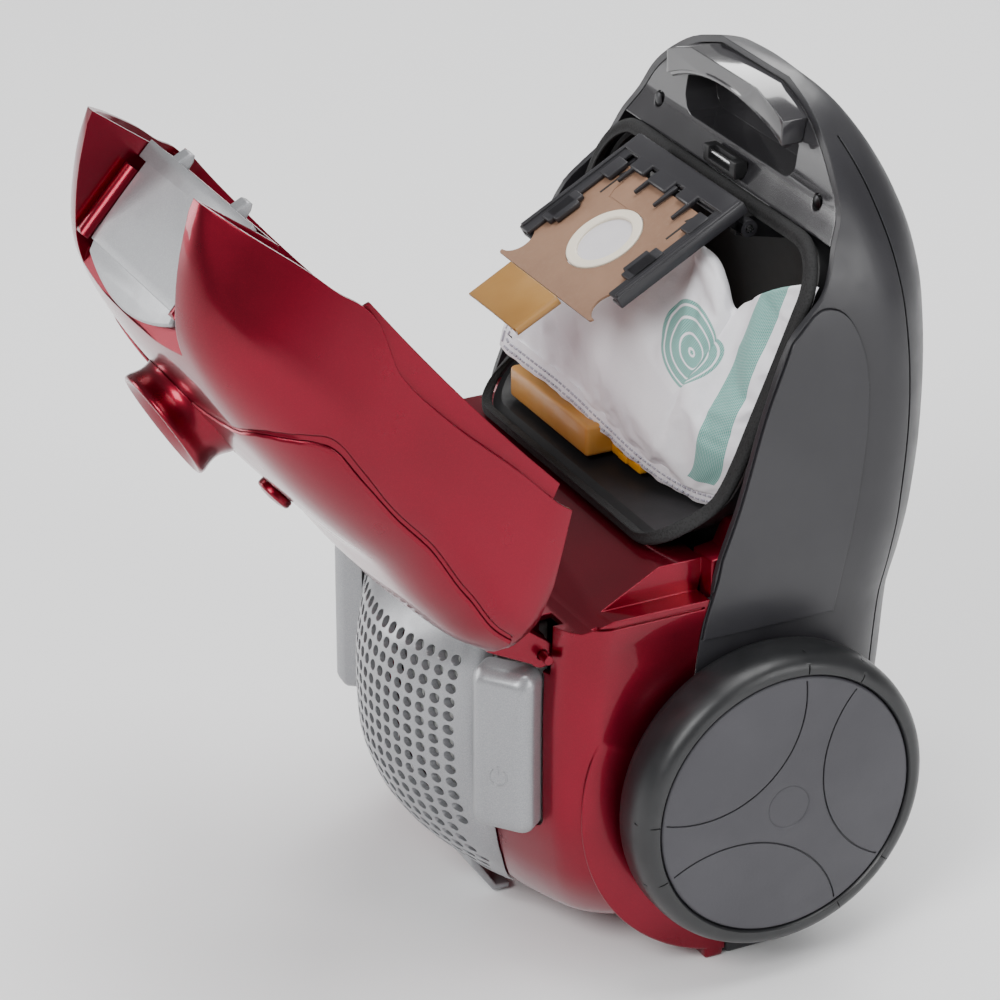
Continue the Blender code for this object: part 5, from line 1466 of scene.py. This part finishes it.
def rim_loop(inset, rear_inset, lift=0.0, floor=None):
    """The chamber's rounded rectangle, inset all round, on the rim or on a floor plane."""
    half = RIM_HALF_WIDTH - inset
    rear = RIM_REAR_Z + rear_inset
    front = RIM_FRONT_Z - inset
    radius = max(RIM_CORNER - inset, 0.006)
    flat = arc((half - radius, rear + radius), radius, -90, 0, 14)
    flat += [(half, z) for z in np.linspace(rear + radius, front - radius, 26)[1:-1]]
    flat += arc((half - radius, front - radius), radius, 0, 90, 14)
    flat += [(x, front) for x in np.linspace(half - radius, -half + radius, 18)[1:-1]]
    flat += arc((-half + radius, front - radius), radius, 90, 180, 14)
    flat += [(-half, z) for z in np.linspace(front - radius, rear + radius, 26)[1:-1]]
    flat += arc((-half + radius, rear + radius), radius, 180, 270, 14)
    flat += [(x, rear) for x in np.linspace(-half + radius, half - radius, 18)[1:-1]]
    if floor is not None:
        return [(x, floor, z) for x, z in flat]
    return [(x, rim_y(z) + lift, z) for x, z in flat]


def chamber_liner():
    rings = [rim_loop(0.0090, 0.0090, floor=LINER_FLOOR_Y + 0.002)]
    rings += [rim_loop(0.0030, 0.0020, floor=LINER_FLOOR_Y - 0.004)]
    outer = loft("liner", rings + [rim_loop(-0.0040, -0.0034, floor=-0.090)])
    rings = [rim_loop(0.0160, 0.0160, floor=LINER_FLOOR_Y)]
    rings += [rim_loop(0.0085, 0.0085, floor=LINER_FLOOR_Y - 0.003)]
    rings += [rim_loop(0.0060, 0.0060, floor=LINER_FLOOR_Y - 0.010)]
    inner = loft("space", rings + [rim_loop(-0.0010, -0.0012, floor=-0.100)])
    above = [(-0.30, 0.05), (RIM_PROFILE[0][0], 0.05)] + RIM_PROFILE
    above += [(RIM_PROFILE[-1][0], 0.40), (-0.30, 0.40)]
    liner = cut(outer, inner, prism("above", above, -0.20, 0.20))
    for side in (-1, 1):
        low, high = span(side, 0.0385, 0.0435)
        outline = [(0.0225, 0.2575), (0.0550, 0.2500), (0.0550, 0.2660), (0.0225, 0.2660)]
        liner = join(liner, prism("lug", outline, low, high))
        bore = rod("bore", 0.0021, low - 0.002, high + 0.002, "x", tuple(HOLDER_PIVOT.yz), 20)
        liner = cut(liner, bore)
    liner = cut(liner, rod("inlet", 0.0300, 0.110, 0.140, "z", (0.0420, 0.0200), 48))
    place(liner, "bag_chamber", "black_plastic", "root", "chamber_liner")


def chamber_seal():
    """A foam gasket with a broad back and a thin inner lip, joined at one place on the rear edge."""
    loop = np.array(rim_loop(-0.0005, -0.0005, lift=-0.0055))
    inward = np.array(rim_loop(0.0035, 0.0035, lift=-0.0055)) - loop
    inward /= np.linalg.norm(inward, axis=1)[:, None]
    up = np.array((0.0, -1.0, 0.0))
    profile = [(-0.0030, -0.0004), (-0.0029, 0.0012), (-0.0018, 0.0026), (0.0000, 0.0030)]
    profile += [(0.0012, 0.0026), (0.0020, 0.0030), (0.0034, 0.0036), (0.0038, 0.0030)]
    profile += [(0.0030, 0.0018), (0.0028, -0.0006), (0.0018, -0.0024)]
    profile += [(0.0, -0.0030), (-0.0020, -0.0023)]
    bm = bmesh.new()
    rows = []
    for point, side in zip(loop, inward):
        across = side - up * np.dot(side, up)
        across /= np.linalg.norm(across)
        rows.append([bm.verts.new(tuple(point + a * across + b * up)) for a, b in profile])
    count = len(profile)
    for lower, upper in zip(rows, rows[1:] + rows[:1]):
        for i in range(count):
            j = (i + 1) % count
            bm.faces.new((lower[i], lower[j], upper[j], upper[i]))
    seal = object_from(bm, "seal")
    seal = cut(seal, box("joint", (-0.0564, -0.08, 0.110), (-0.0559, 0.02, 0.1395)))
    place(seal, "rim_gasket", "seal_foam", "root", "chamber_seal", angle=50.0)


# ---------------------------------------------------------------- filter and holder


def motor_filter():
    """The foam block in its frame, and the box beside it with a small catch, in a brighter copy of the
    amber: painted light on that lit face.
    """
    block = bevelled(box("filter", (-0.0835, -0.0360, 0.1330), (0.0020, 0.0330, 0.1500)), 0.0022, 4)
    place(block, "filter_foam", "amber_plastic", "root", "pre_motor_filter")
    step = bevelled(box("step", (0.0023, -0.0220, 0.1335), (0.0320, 0.0325, 0.1390)), 0.0012, 3)
    tab = bevelled(box("tab", (0.0120, -0.0236, 0.1350), (0.0210, -0.0215, 0.1385)), 0.0006)
    step = join(step, tab)
    # the block's amber painted brighter: painted light on the box's lit face
    lit_amber = amber("filter_lit_amber", (0.62, 0.26, 0.006), (0.74, 0.36, 0.012), 0.15)
    place(step, "filter_box", "amber_plastic", "root", material=lit_amber)


# The middle of the holder's slot, in the holder's frame, and the middle of the card's hole.
PLANE = -0.0133
CARD_HOLE_Z = -0.0530


def bag_holder():
    """The holder's rails, stepped clips over the card, and a comb on the top bar."""
    half, inner, slot_half, top, foot = 0.0520, 0.0430, 0.0494, 0.003, -0.075
    outline = [(-half, foot), (-inner, foot), (-inner, top - 0.012)]
    outline += [(inner, top - 0.012), (inner, foot), (half, foot), (half, top), (-half, top)]
    plate = prism("holder", outline, PLANE - 0.0032, PLANE + 0.0032, "y")
    low, high = (-slot_half, PLANE - 0.0011, foot - 0.01), (slot_half, PLANE + 0.0011, top - 0.003)
    plate = bevelled(cut(plate, box("slot", low, high)), 0.0006, 2)
    parts = []
    for side in (-1, 1):
        low, high = span(side, 0.0445, 0.0490)
        outline = [(PLANE + 0.0020, 0.0030), (PLANE + 0.0020, -0.0100), (0.0, -0.0045)]
        arm = prism("arm", outline, low, high)
        ear = rod("ear", 0.0045, low, high, "x", (0.0, 0.0), 32)
        plate = join(plate, arm, ear)
        plate = cut(plate, rod("bore", 0.0021, low - 0.002, high + 0.002, "x", (0.0, 0.0), 20))
        clips = ((-0.0270, -0.0140, 0.0062), (-0.0640, -0.0420, 0.0050), (-0.0610, -0.0460, 0.0080))
        for start, end, reach in clips:
            near, far = span(side, inner + 0.0030, inner - reach)
            tab = box("tab", (near, PLANE - 0.0042, start), (far, PLANE - 0.0014, end))
            parts.append(bevelled(tab, 0.0007, 2))
        near, far = span(side, 0.0490, 0.0514)
        rib = box("rib", (near, PLANE - 0.0044, foot + 0.001), (far, PLANE - 0.0028, top - 0.001))
        parts.append(bevelled(rib, 0.0005, 2))
    teeth = ((-0.0270, 0.0068, 0.0065), (-0.0050, 0.0090, 0.0075), (0.0190, 0.0068, 0.0060))
    for x, width, reach in teeth:
        low, high = (x - width, PLANE - 0.0043, -0.0090 - reach), (x + width, PLANE - 0.0014, -0.0060)
        parts.append(bevelled(box("tooth", low, high), 0.0012, 3))
    for x in (-0.0310, -0.0135, 0.0060, 0.0245):
        outline = [(x - 0.0014, -0.0100), (x + 0.0014, -0.0100)]
        outline += [(x + 0.0009, -0.0250), (x - 0.0006, -0.0250)]
        finger = prism("finger", outline, PLANE - 0.0036, PLANE - 0.0016, "y")
        parts.append(bevelled(finger, 0.0004, 2))
    bar = box("bar", (-0.0500, PLANE - 0.0044, -0.0085), (0.0500, PLANE - 0.0028, 0.0022))
    plate = join(plate, bevelled(bar, 0.0006, 2), *parts)
    place(plate, "card_holder", "dark_grey", "holder", "bag_holder_frame", matrix=HOLDER_MATRIX)


def card_outline():
    """The card with its two half-round notches near the foot."""
    half, top, foot = 0.0488, -0.0130, -0.0910
    right = [(half, top - 0.001), (half - 0.0001, -0.0700)]
    for a in np.radians(np.linspace(90, -90, 17)):
        right.append((half - 0.0095 * math.cos(a), -0.0795 + 0.0095 * math.sin(a)))
    right += [(half, foot + 0.001), (half - 0.001, foot)]
    return right + [(-x, z) for x, z in reversed(right)]


def bag_card():
    card = prism("card", card_outline(), PLANE - 0.0006, PLANE + 0.0006, "y")
    card = cut(card, rod("hole", 0.0210, PLANE - 0.01, PLANE + 0.01, "y", (0.0, CARD_HOLE_Z), 96))
    slit = arc((-0.0145, -0.0230), 0.0150, 180, 200, 4) + [(-0.0270, -0.0330), (0.0080, -0.0330)]
    slit += [(0.0085, -0.0338), (-0.0275, -0.0338), (-0.0302, -0.0286), (-0.0303, -0.0230)]
    card = cut(card, prism("slit", slit, PLANE - 0.01, PLANE - 0.00035, "y"))
    place(card, "card_plate", "kraft_card", "card", "bag_card", matrix=HOLDER_MATRIX)
    ink = grained_plastic("card_ink", (0.020, 0.016, 0.014), 0.7, depth=0.00001)
    for word, x in (("left", -0.0355), ("right", 0.0330)):
        outline = [(x - 0.0007, -0.0345), (x + 0.0007, -0.0345), (x + 0.0007, -0.0215)]
        outline += [(x + 0.0028, -0.0215), (x, -0.0160), (x - 0.0028, -0.0215), (x - 0.0007, -0.0215)]
        arrow = prism("arrow", outline, PLANE - 0.00075, PLANE - 0.00055, "y")
        place(arrow, "card_arrow_" + word, "kraft_card", "card", matrix=HOLDER_MATRIX, material=ink)


def card_ring():
    """The cream ring in the card's hole and the pale rubber membrane stretched inside it."""
    lay = Matrix.Rotation(-math.pi / 2, 4, "X")
    shift = Matrix.Translation((0.0, PLANE, CARD_HOLE_Z))
    profile = [(0.0150, -0.0006), (0.0156, -0.0012), (0.0200, -0.0014)]
    profile += [(0.0206, -0.0010), (0.0206, 0.0042), (0.0150, 0.0042)]
    ring = move(move(turned("ring", profile, 96), lay), shift)
    place(ring, "inlet_ring", "cream_ring", "card", "card_ring", matrix=HOLDER_MATRIX)
    profile = [(0.0, 0.0012), (0.0060, 0.0013), (0.0110, 0.0010), (0.0152, 0.0004)]
    profile += [(0.0152, 0.0010), (0.0110, 0.0017), (0.0, 0.0020)]
    skin = move(move(turned("membrane", profile, 72), lay), shift)
    pale = grained_plastic("pale_membrane", (0.60, 0.58, 0.60), 0.35, grain=300.0)
    place(skin, "inlet_membrane", "cream_ring", "card", matrix=HOLDER_MATRIX, material=pale)


def card_tab():
    """The amber flap below the card: a thin bent sheet with a thick lower edge."""
    rings = []
    for x in np.linspace(-0.0350, 0.0150, 15):
        sag = 0.0008 * math.sin((x + 0.035) / 0.050 * math.pi)
        near, far = PLANE - 0.0008, PLANE + 0.0010
        ring = [(x, near - sag, -0.1180), (x, near, -0.0913)]
        rings.append(ring + [(x, PLANE + 0.0006, -0.0913), (x, far - sag, -0.1180)])
    flap = bevelled(loft("flap", rings), 0.0004, 2)
    route = [(0.0146, PLANE + 0.0018, -0.0915), (0.0146, PLANE + 0.0012, -0.1176)]
    flap = join(flap, tube("edge", route, 0.0022, sides=12))
    tone = amber("flap_amber", (0.29, 0.140, 0.030), (0.37, 0.195, 0.055), 0.10)
    place(flap, "card_flap", "amber_plastic", "card", "card_tab", matrix=HOLDER_MATRIX, material=tone)


# ---------------------------------------------------------------- the dust bag

# The bag's outline in the machine frame, in metres: the stitched lower edge, the right side, the top
# with its folded-in notch, and the left side under the card.
BAG_LOWER = (
    (-0.0760, -0.0400, 0.1680),
    (-0.0600, -0.0365, 0.1650),
    (-0.0300, -0.0310, 0.1600),
    (0.0060, -0.0260, 0.1520),
    (0.0360, -0.0200, 0.1440),
    (0.0640, -0.0110, 0.1390),
    (0.0840, -0.0050, 0.1410),
)
BAG_RIGHT = (
    (0.0840, -0.0050, 0.1410),
    (0.0965, -0.0020, 0.1560),
    (0.0990, 0.0080, 0.1850),
    (0.0995, 0.0200, 0.2200),
    (0.1005, 0.0300, 0.2530),
)
BAG_TOP = (
    (-0.0450, 0.0120, 0.2380),
    (-0.0100, 0.0130, 0.2470),
    (0.0250, 0.0110, 0.2510),
    (0.0470, 0.0090, 0.2500),
    (0.0560, 0.0110, 0.2390),
    (0.0610, 0.0150, 0.2270),
    (0.0690, 0.0180, 0.2340),
    (0.0840, 0.0240, 0.2450),
    (0.1005, 0.0300, 0.2530),
)
BAG_LEFT = (
    (-0.0760, -0.0400, 0.1680),
    (-0.0720, -0.0280, 0.1900),
    (-0.0600, -0.0080, 0.2150),
    (-0.0450, 0.0120, 0.2380),
)
BAG_STEPS = (72, 56)
BAG_SWELL_LIMIT = 0.020


def along(points, count):
    """count points, evenly spaced by length, on a smooth curve."""
    line = np.array(flowing(points, 12))
    lengths = np.concatenate([[0.0], np.cumsum(np.linalg.norm(np.diff(line, axis=0), axis=1))])
    wanted = np.linspace(0.0, lengths[-1], count)
    return np.column_stack([np.interp(wanted, lengths, line[:, k]) for k in range(3)])


def bag_sheet():
    """Points of the bag's seam surface: a patch stretched between its four edges."""
    nu, nv = BAG_STEPS
    low, high = along(BAG_LOWER, nu + 1), along(BAG_TOP, nu + 1)
    left, right = along(BAG_LEFT, nv + 1), along(BAG_RIGHT, nv + 1)
    u = np.linspace(0, 1, nu + 1)[:, None, None]
    v = np.linspace(0, 1, nv + 1)[None, :, None]
    ruled = (1 - v) * low[:, None] + v * high[:, None] + (1 - u) * left[None] + u * right[None]
    corners = (1 - u) * (1 - v) * low[0] + u * (1 - v) * low[-1]
    return ruled - (corners + (1 - u) * v * high[0] + u * v * high[-1])


def pillow(points):
    """Two layers welded along the seam, the outer one already a little full."""
    nu, nv = BAG_STEPS
    du = np.gradient(points, axis=0)
    dv = np.gradient(points, axis=1)
    normal = np.cross(du, dv)
    normal /= np.linalg.norm(normal, axis=2)[:, :, None]
    if normal[nu // 2, nv // 2, 1] > 0:
        normal = -normal
    u = np.linspace(0, 1, nu + 1)[:, None]
    v = np.linspace(0, 1, nv + 1)[None, :]
    dome_height = (np.sin(math.pi * u) * np.sin(math.pi * v)) ** 0.5
    front = points + normal * (0.0100 * dome_height)[:, :, None]
    back = points - normal * (0.0140 * dome_height)[:, :, None]
    bm = bmesh.new()
    layers = []
    for number, layer in enumerate((front, back)):
        grid = {}
        for i in range(nu + 1):
            for j in range(nv + 1):
                border = i in (0, nu) or j in (0, nv)
                if number and border:
                    grid[i, j] = layers[0][i, j]
                else:
                    grid[i, j] = bm.verts.new(tuple(layer[i, j]))
        layers.append(grid)
    uv = bm.loops.layers.uv.new("print")
    for number, grid in enumerate(layers):
        for i in range(nu):
            for j in range(nv):
                keys = [(i, j), (i + 1, j), (i + 1, j + 1), (i, j + 1)]
                if number:
                    keys.reverse()
                face = bm.faces.new([grid[key] for key in keys])
                face.material_index = number
                for loop, key in zip(face.loops, keys):
                    loop[uv].uv = (key[0] / nu, key[1] / nv)
    bm.verts.index_update()
    edge = []
    for (i, j), vertex in layers[0].items():
        if i in (0, nu) or j in (0, nv):
            edge.append(vertex.index)
    mesh = bpy.data.meshes.new("bag")
    bm.to_mesh(mesh)
    bm.free()
    bag = bpy.data.objects.new("bag", mesh)
    bpy.context.scene.collection.objects.link(bag)
    return bag, edge


def inflate(bag, edge, frames=22):
    """Blow the bag up with a short cloth simulation, its seam held, and keep the result."""
    group = bag.vertex_groups.new(name="seam")
    group.add(edge, 1.0, "REPLACE")
    rest = np.array([v.co for v in bag.data.vertices])
    step = bag.modifiers.new("cloth", "CLOTH")
    settings = step.settings
    settings.quality = 6
    settings.mass = 0.15
    settings.tension_stiffness = 25.0
    settings.compression_stiffness = 18.0
    settings.shear_stiffness = 8.0
    settings.bending_stiffness = 0.35
    settings.use_pressure = True
    settings.uniform_pressure_force = 3.2
    settings.shrink_min = -0.045
    settings.shrink_max = -0.045
    settings.vertex_group_mass = "seam"
    settings.effector_weights.gravity = 0.0
    step.point_cache.frame_start = 1
    step.point_cache.frame_end = frames
    scene = bpy.context.scene
    scene.frame_start, scene.frame_end = 1, frames
    for number in range(1, frames + 1):
        scene.frame_set(number)
    bake_modifiers(bag)
    moved = np.array([v.co for v in bag.data.vertices])
    change = moved - rest
    length = np.linalg.norm(change, axis=1)[:, None]
    change *= np.minimum(1.0, BAG_SWELL_LIMIT / np.maximum(length, 1e-9))
    bag.data.vertices.foreach_set("co", (rest + change).ravel())
    scene.frame_set(1)
    return bag


# The print, in metres on the bag's flat front: its size, the disc, the band's two edges, and the
# waves that draw the disc's rings and the halftone dots.
PRINT_SIZE = (0.135, 0.115)
DISC_PLACE = (0.0888, 0.077)
DISC_RADIUS = 0.0185
BAND_START = 0.1129
BAND_END = 0.1262
BAND_FOOT = 0.010
RING_WAVE = 1150.0
DOT_WAVE = 4200.0


def fleece():
    """White non-woven fleece with a teal halftone disc and a teal halftone band."""
    made = Surface("bag_fleece", 0.88, sheen=0.25)
    position = made.node("ShaderNodeUVMap", uv_map="print").outputs["UV"]
    split = made.node("ShaderNodeSeparateXYZ")
    made.link(position, split.inputs["Vector"])
    across = made.maths("MULTIPLY", split.outputs["X"], PRINT_SIZE[0])
    up = made.maths("MULTIPLY", split.outputs["Y"], PRINT_SIZE[1])
    dx = made.maths("SUBTRACT", across, DISC_PLACE[0])
    dy = made.maths("SUBTRACT", up, DISC_PLACE[1])
    squares = (made.maths("MULTIPLY", dx, dx), made.maths("MULTIPLY", dy, dy))
    distance = made.maths("SQRT", made.maths("ADD", *squares))
    disc = made.ramp(distance, DISC_RADIUS - 0.0002, DISC_RADIUS, 1.0, 0.0)
    ring_in = made.ramp(distance, DISC_RADIUS - 0.0026, DISC_RADIUS - 0.0024, 1.0, 0.0)
    ring_out = made.ramp(distance, DISC_RADIUS - 0.0017, DISC_RADIUS - 0.0015, 0.0, 1.0)
    solid = made.maths("MAXIMUM", ring_in, ring_out)
    disc = made.maths("MULTIPLY", disc, solid)
    waves = made.maths("SINE", made.maths("MULTIPLY", distance, RING_WAVE))
    lines = made.ramp(waves, 0.80, 0.90, 1.0, 0.0)
    disc = made.maths("MULTIPLY", disc, made.maths("MAXIMUM", lines, ring_out))
    near = made.ramp(across, BAND_START, BAND_START + 0.0003)
    far = made.ramp(across, BAND_END, BAND_END + 0.0003, 1.0, 0.0)
    foot = made.ramp(up, BAND_FOOT, BAND_FOOT + 0.0003)
    band = made.maths("MULTIPLY", made.maths("MULTIPLY", near, far), foot)
    tint = made.maths("MAXIMUM", disc, band)
    dots_x = made.maths("SINE", made.maths("MULTIPLY", made.maths("ADD", across, up), DOT_WAVE))
    dots_y = made.maths("SINE", made.maths("MULTIPLY", made.maths("SUBTRACT", across, up), DOT_WAVE))
    dots = made.ramp(made.maths("MULTIPLY", dots_x, dots_y), -0.2, 0.2, 0.55, 1.0)
    fibres = made.noise(1300.0, 5.0, 0.75, stretch=(1.0, 0.5, 1.0))
    base = made.mix(made.ramp(made.noise(26.0), 0.3, 0.7), (0.86, 0.85, 0.90), (0.93, 0.92, 0.95))
    base = made.mix(made.ramp(fibres, 0.5, 0.8, 0.0, 0.35), base, (0.70, 0.69, 0.74))
    made.colour(made.mix(made.maths("MULTIPLY", tint, dots), base, (0.020, 0.300, 0.235)))
    made.bump(made.maths("ADD", fibres, made.maths("MULTIPLY", made.cells(700.0), 0.5)), 0.00014, 0.7)
    return made.material


def dust_bag():
    points = bag_sheet()
    bag, edge = pillow(points)
    bag = inflate(bag, edge)
    smooth = bag.modifiers.new("smooth", "SUBSURF")
    smooth.levels = smooth.render_levels = 1
    bake_modifiers(bag)
    finish = fleece()
    MATERIALS["bag_fleece"] = finish
    place(bag, "bag_body", "bag_fleece", "root", "dust_bag", material=finish, angle=80.0)
    bag.data.materials.append(finish)
    seam = bag_seam(points)
    place(seam, "bag_seam", "bag_fleece", "root", material=finish, angle=80.0)
    stitches = bag_stitches(points)
    thread = grained_plastic("thread", (0.40, 0.39, 0.45), 0.8, depth=0.00002)
    place(stitches, "bag_stitches", "bag_fleece", "root", material=thread, angle=60.0)
    for soft in (bag, seam, stitches):
        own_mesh(soft)


def seam_frame(points):
    """The visible seam line, its outward and its upward directions."""
    nu, nv = BAG_STEPS
    low = [(i, 0) for i in range(nu + 1)]
    right = [(nu, j) for j in range(1, nv + 1)]
    left = [(0, j) for j in range(nv // 2, 0, -1)]
    order = left + low + right
    line = np.array([points[i, j] for i, j in order])
    inner = np.array([points[min(max(i, 5), nu - 5), min(max(j, 5), nv - 5)] for i, j in order])
    outward = line - inner
    forward = np.gradient(line, axis=0)
    forward /= np.linalg.norm(forward, axis=1)[:, None]
    outward -= forward * np.sum(outward * forward, axis=1)[:, None]
    outward /= np.linalg.norm(outward, axis=1)[:, None]
    up = np.cross(forward, outward)
    up[up[:, 1] > 0] *= -1
    return line, outward, up


def bag_seam(points):
    """The flat doubled border outside the stitching, a little wavy."""
    line, outward, up = seam_frame(points)
    profile = ((-0.0030, 0.0007), (0.0030, 0.0008), (0.0068, 0.0006))
    profile += ((0.0072, 0.0), (0.0068, -0.0006), (-0.0030, -0.0007))
    rings = []
    for k, (point, out, lift) in enumerate(zip(line, outward, up)):
        wave = 0.0006 * math.sin(k * 0.55) + 0.0004 * math.sin(k * 1.31)
        ring = []
        for a, b in profile:
            fade = max(a, 0.0) / 0.0072
            ring.append(tuple(point + out * a + lift * (b + wave * fade)))
        rings.append(ring)
    return loft("seam", rings)


def bag_stitches(points):
    """Two rows of short raised stitches along the seam."""
    line, outward, up = seam_frame(points)
    lengths = np.concatenate([[0.0], np.cumsum(np.linalg.norm(np.diff(line, axis=0), axis=1))])
    marks = []
    for row, offset in ((0, 0.0014), (1, 0.0046)):
        wanted = np.arange(0.002, lengths[-1] - 0.002, 0.0034)
        for start in wanted + row * 0.0017:
            ends = []
            for s in (start, start + 0.0021):
                at, out, lift = (
                    np.array([np.interp(s, lengths, table[:, k]) for k in range(3)])
                    for table in (line, outward, up)
                )
                ends.append(tuple(at + out * offset + lift * 0.0010))
            marks.append(tube("stitch", ends, 0.00060, sides=6))
    return merge("stitches", marks)


# ---------------------------------------------------------------- everything


def build_all():
    rear_shell()
    lower_chassis()
    side_panel(-1, "flank_left", "side_panel_left")
    side_panel(1, "flank_right", "side_panel_right")
    front_deck()
    carry_handle()
    deck_screws()
    latch_keeper()
    lid_shell()
    lid_top_panel()
    hose_port()
    indicator()
    lever_bolts()
    release_lever()
    exhaust_grille()
    grille_clip()
    pedal(1, "pedal_power", "power_pedal", "power_pedal")
    pedal(-1, "pedal_rewind", "cord_rewind_pedal", "rewind_pedal")
    cord_outlet()
    wheel(-1, "left")
    wheel(1, "right")
    caster()
    chamber_liner()
    chamber_seal()
    motor_filter()
    bag_holder()
    bag_card()
    card_ring()
    card_tab()
    dust_bag()


add_camera()
add_studio()
make_materials()
dress_frame()
build_all()
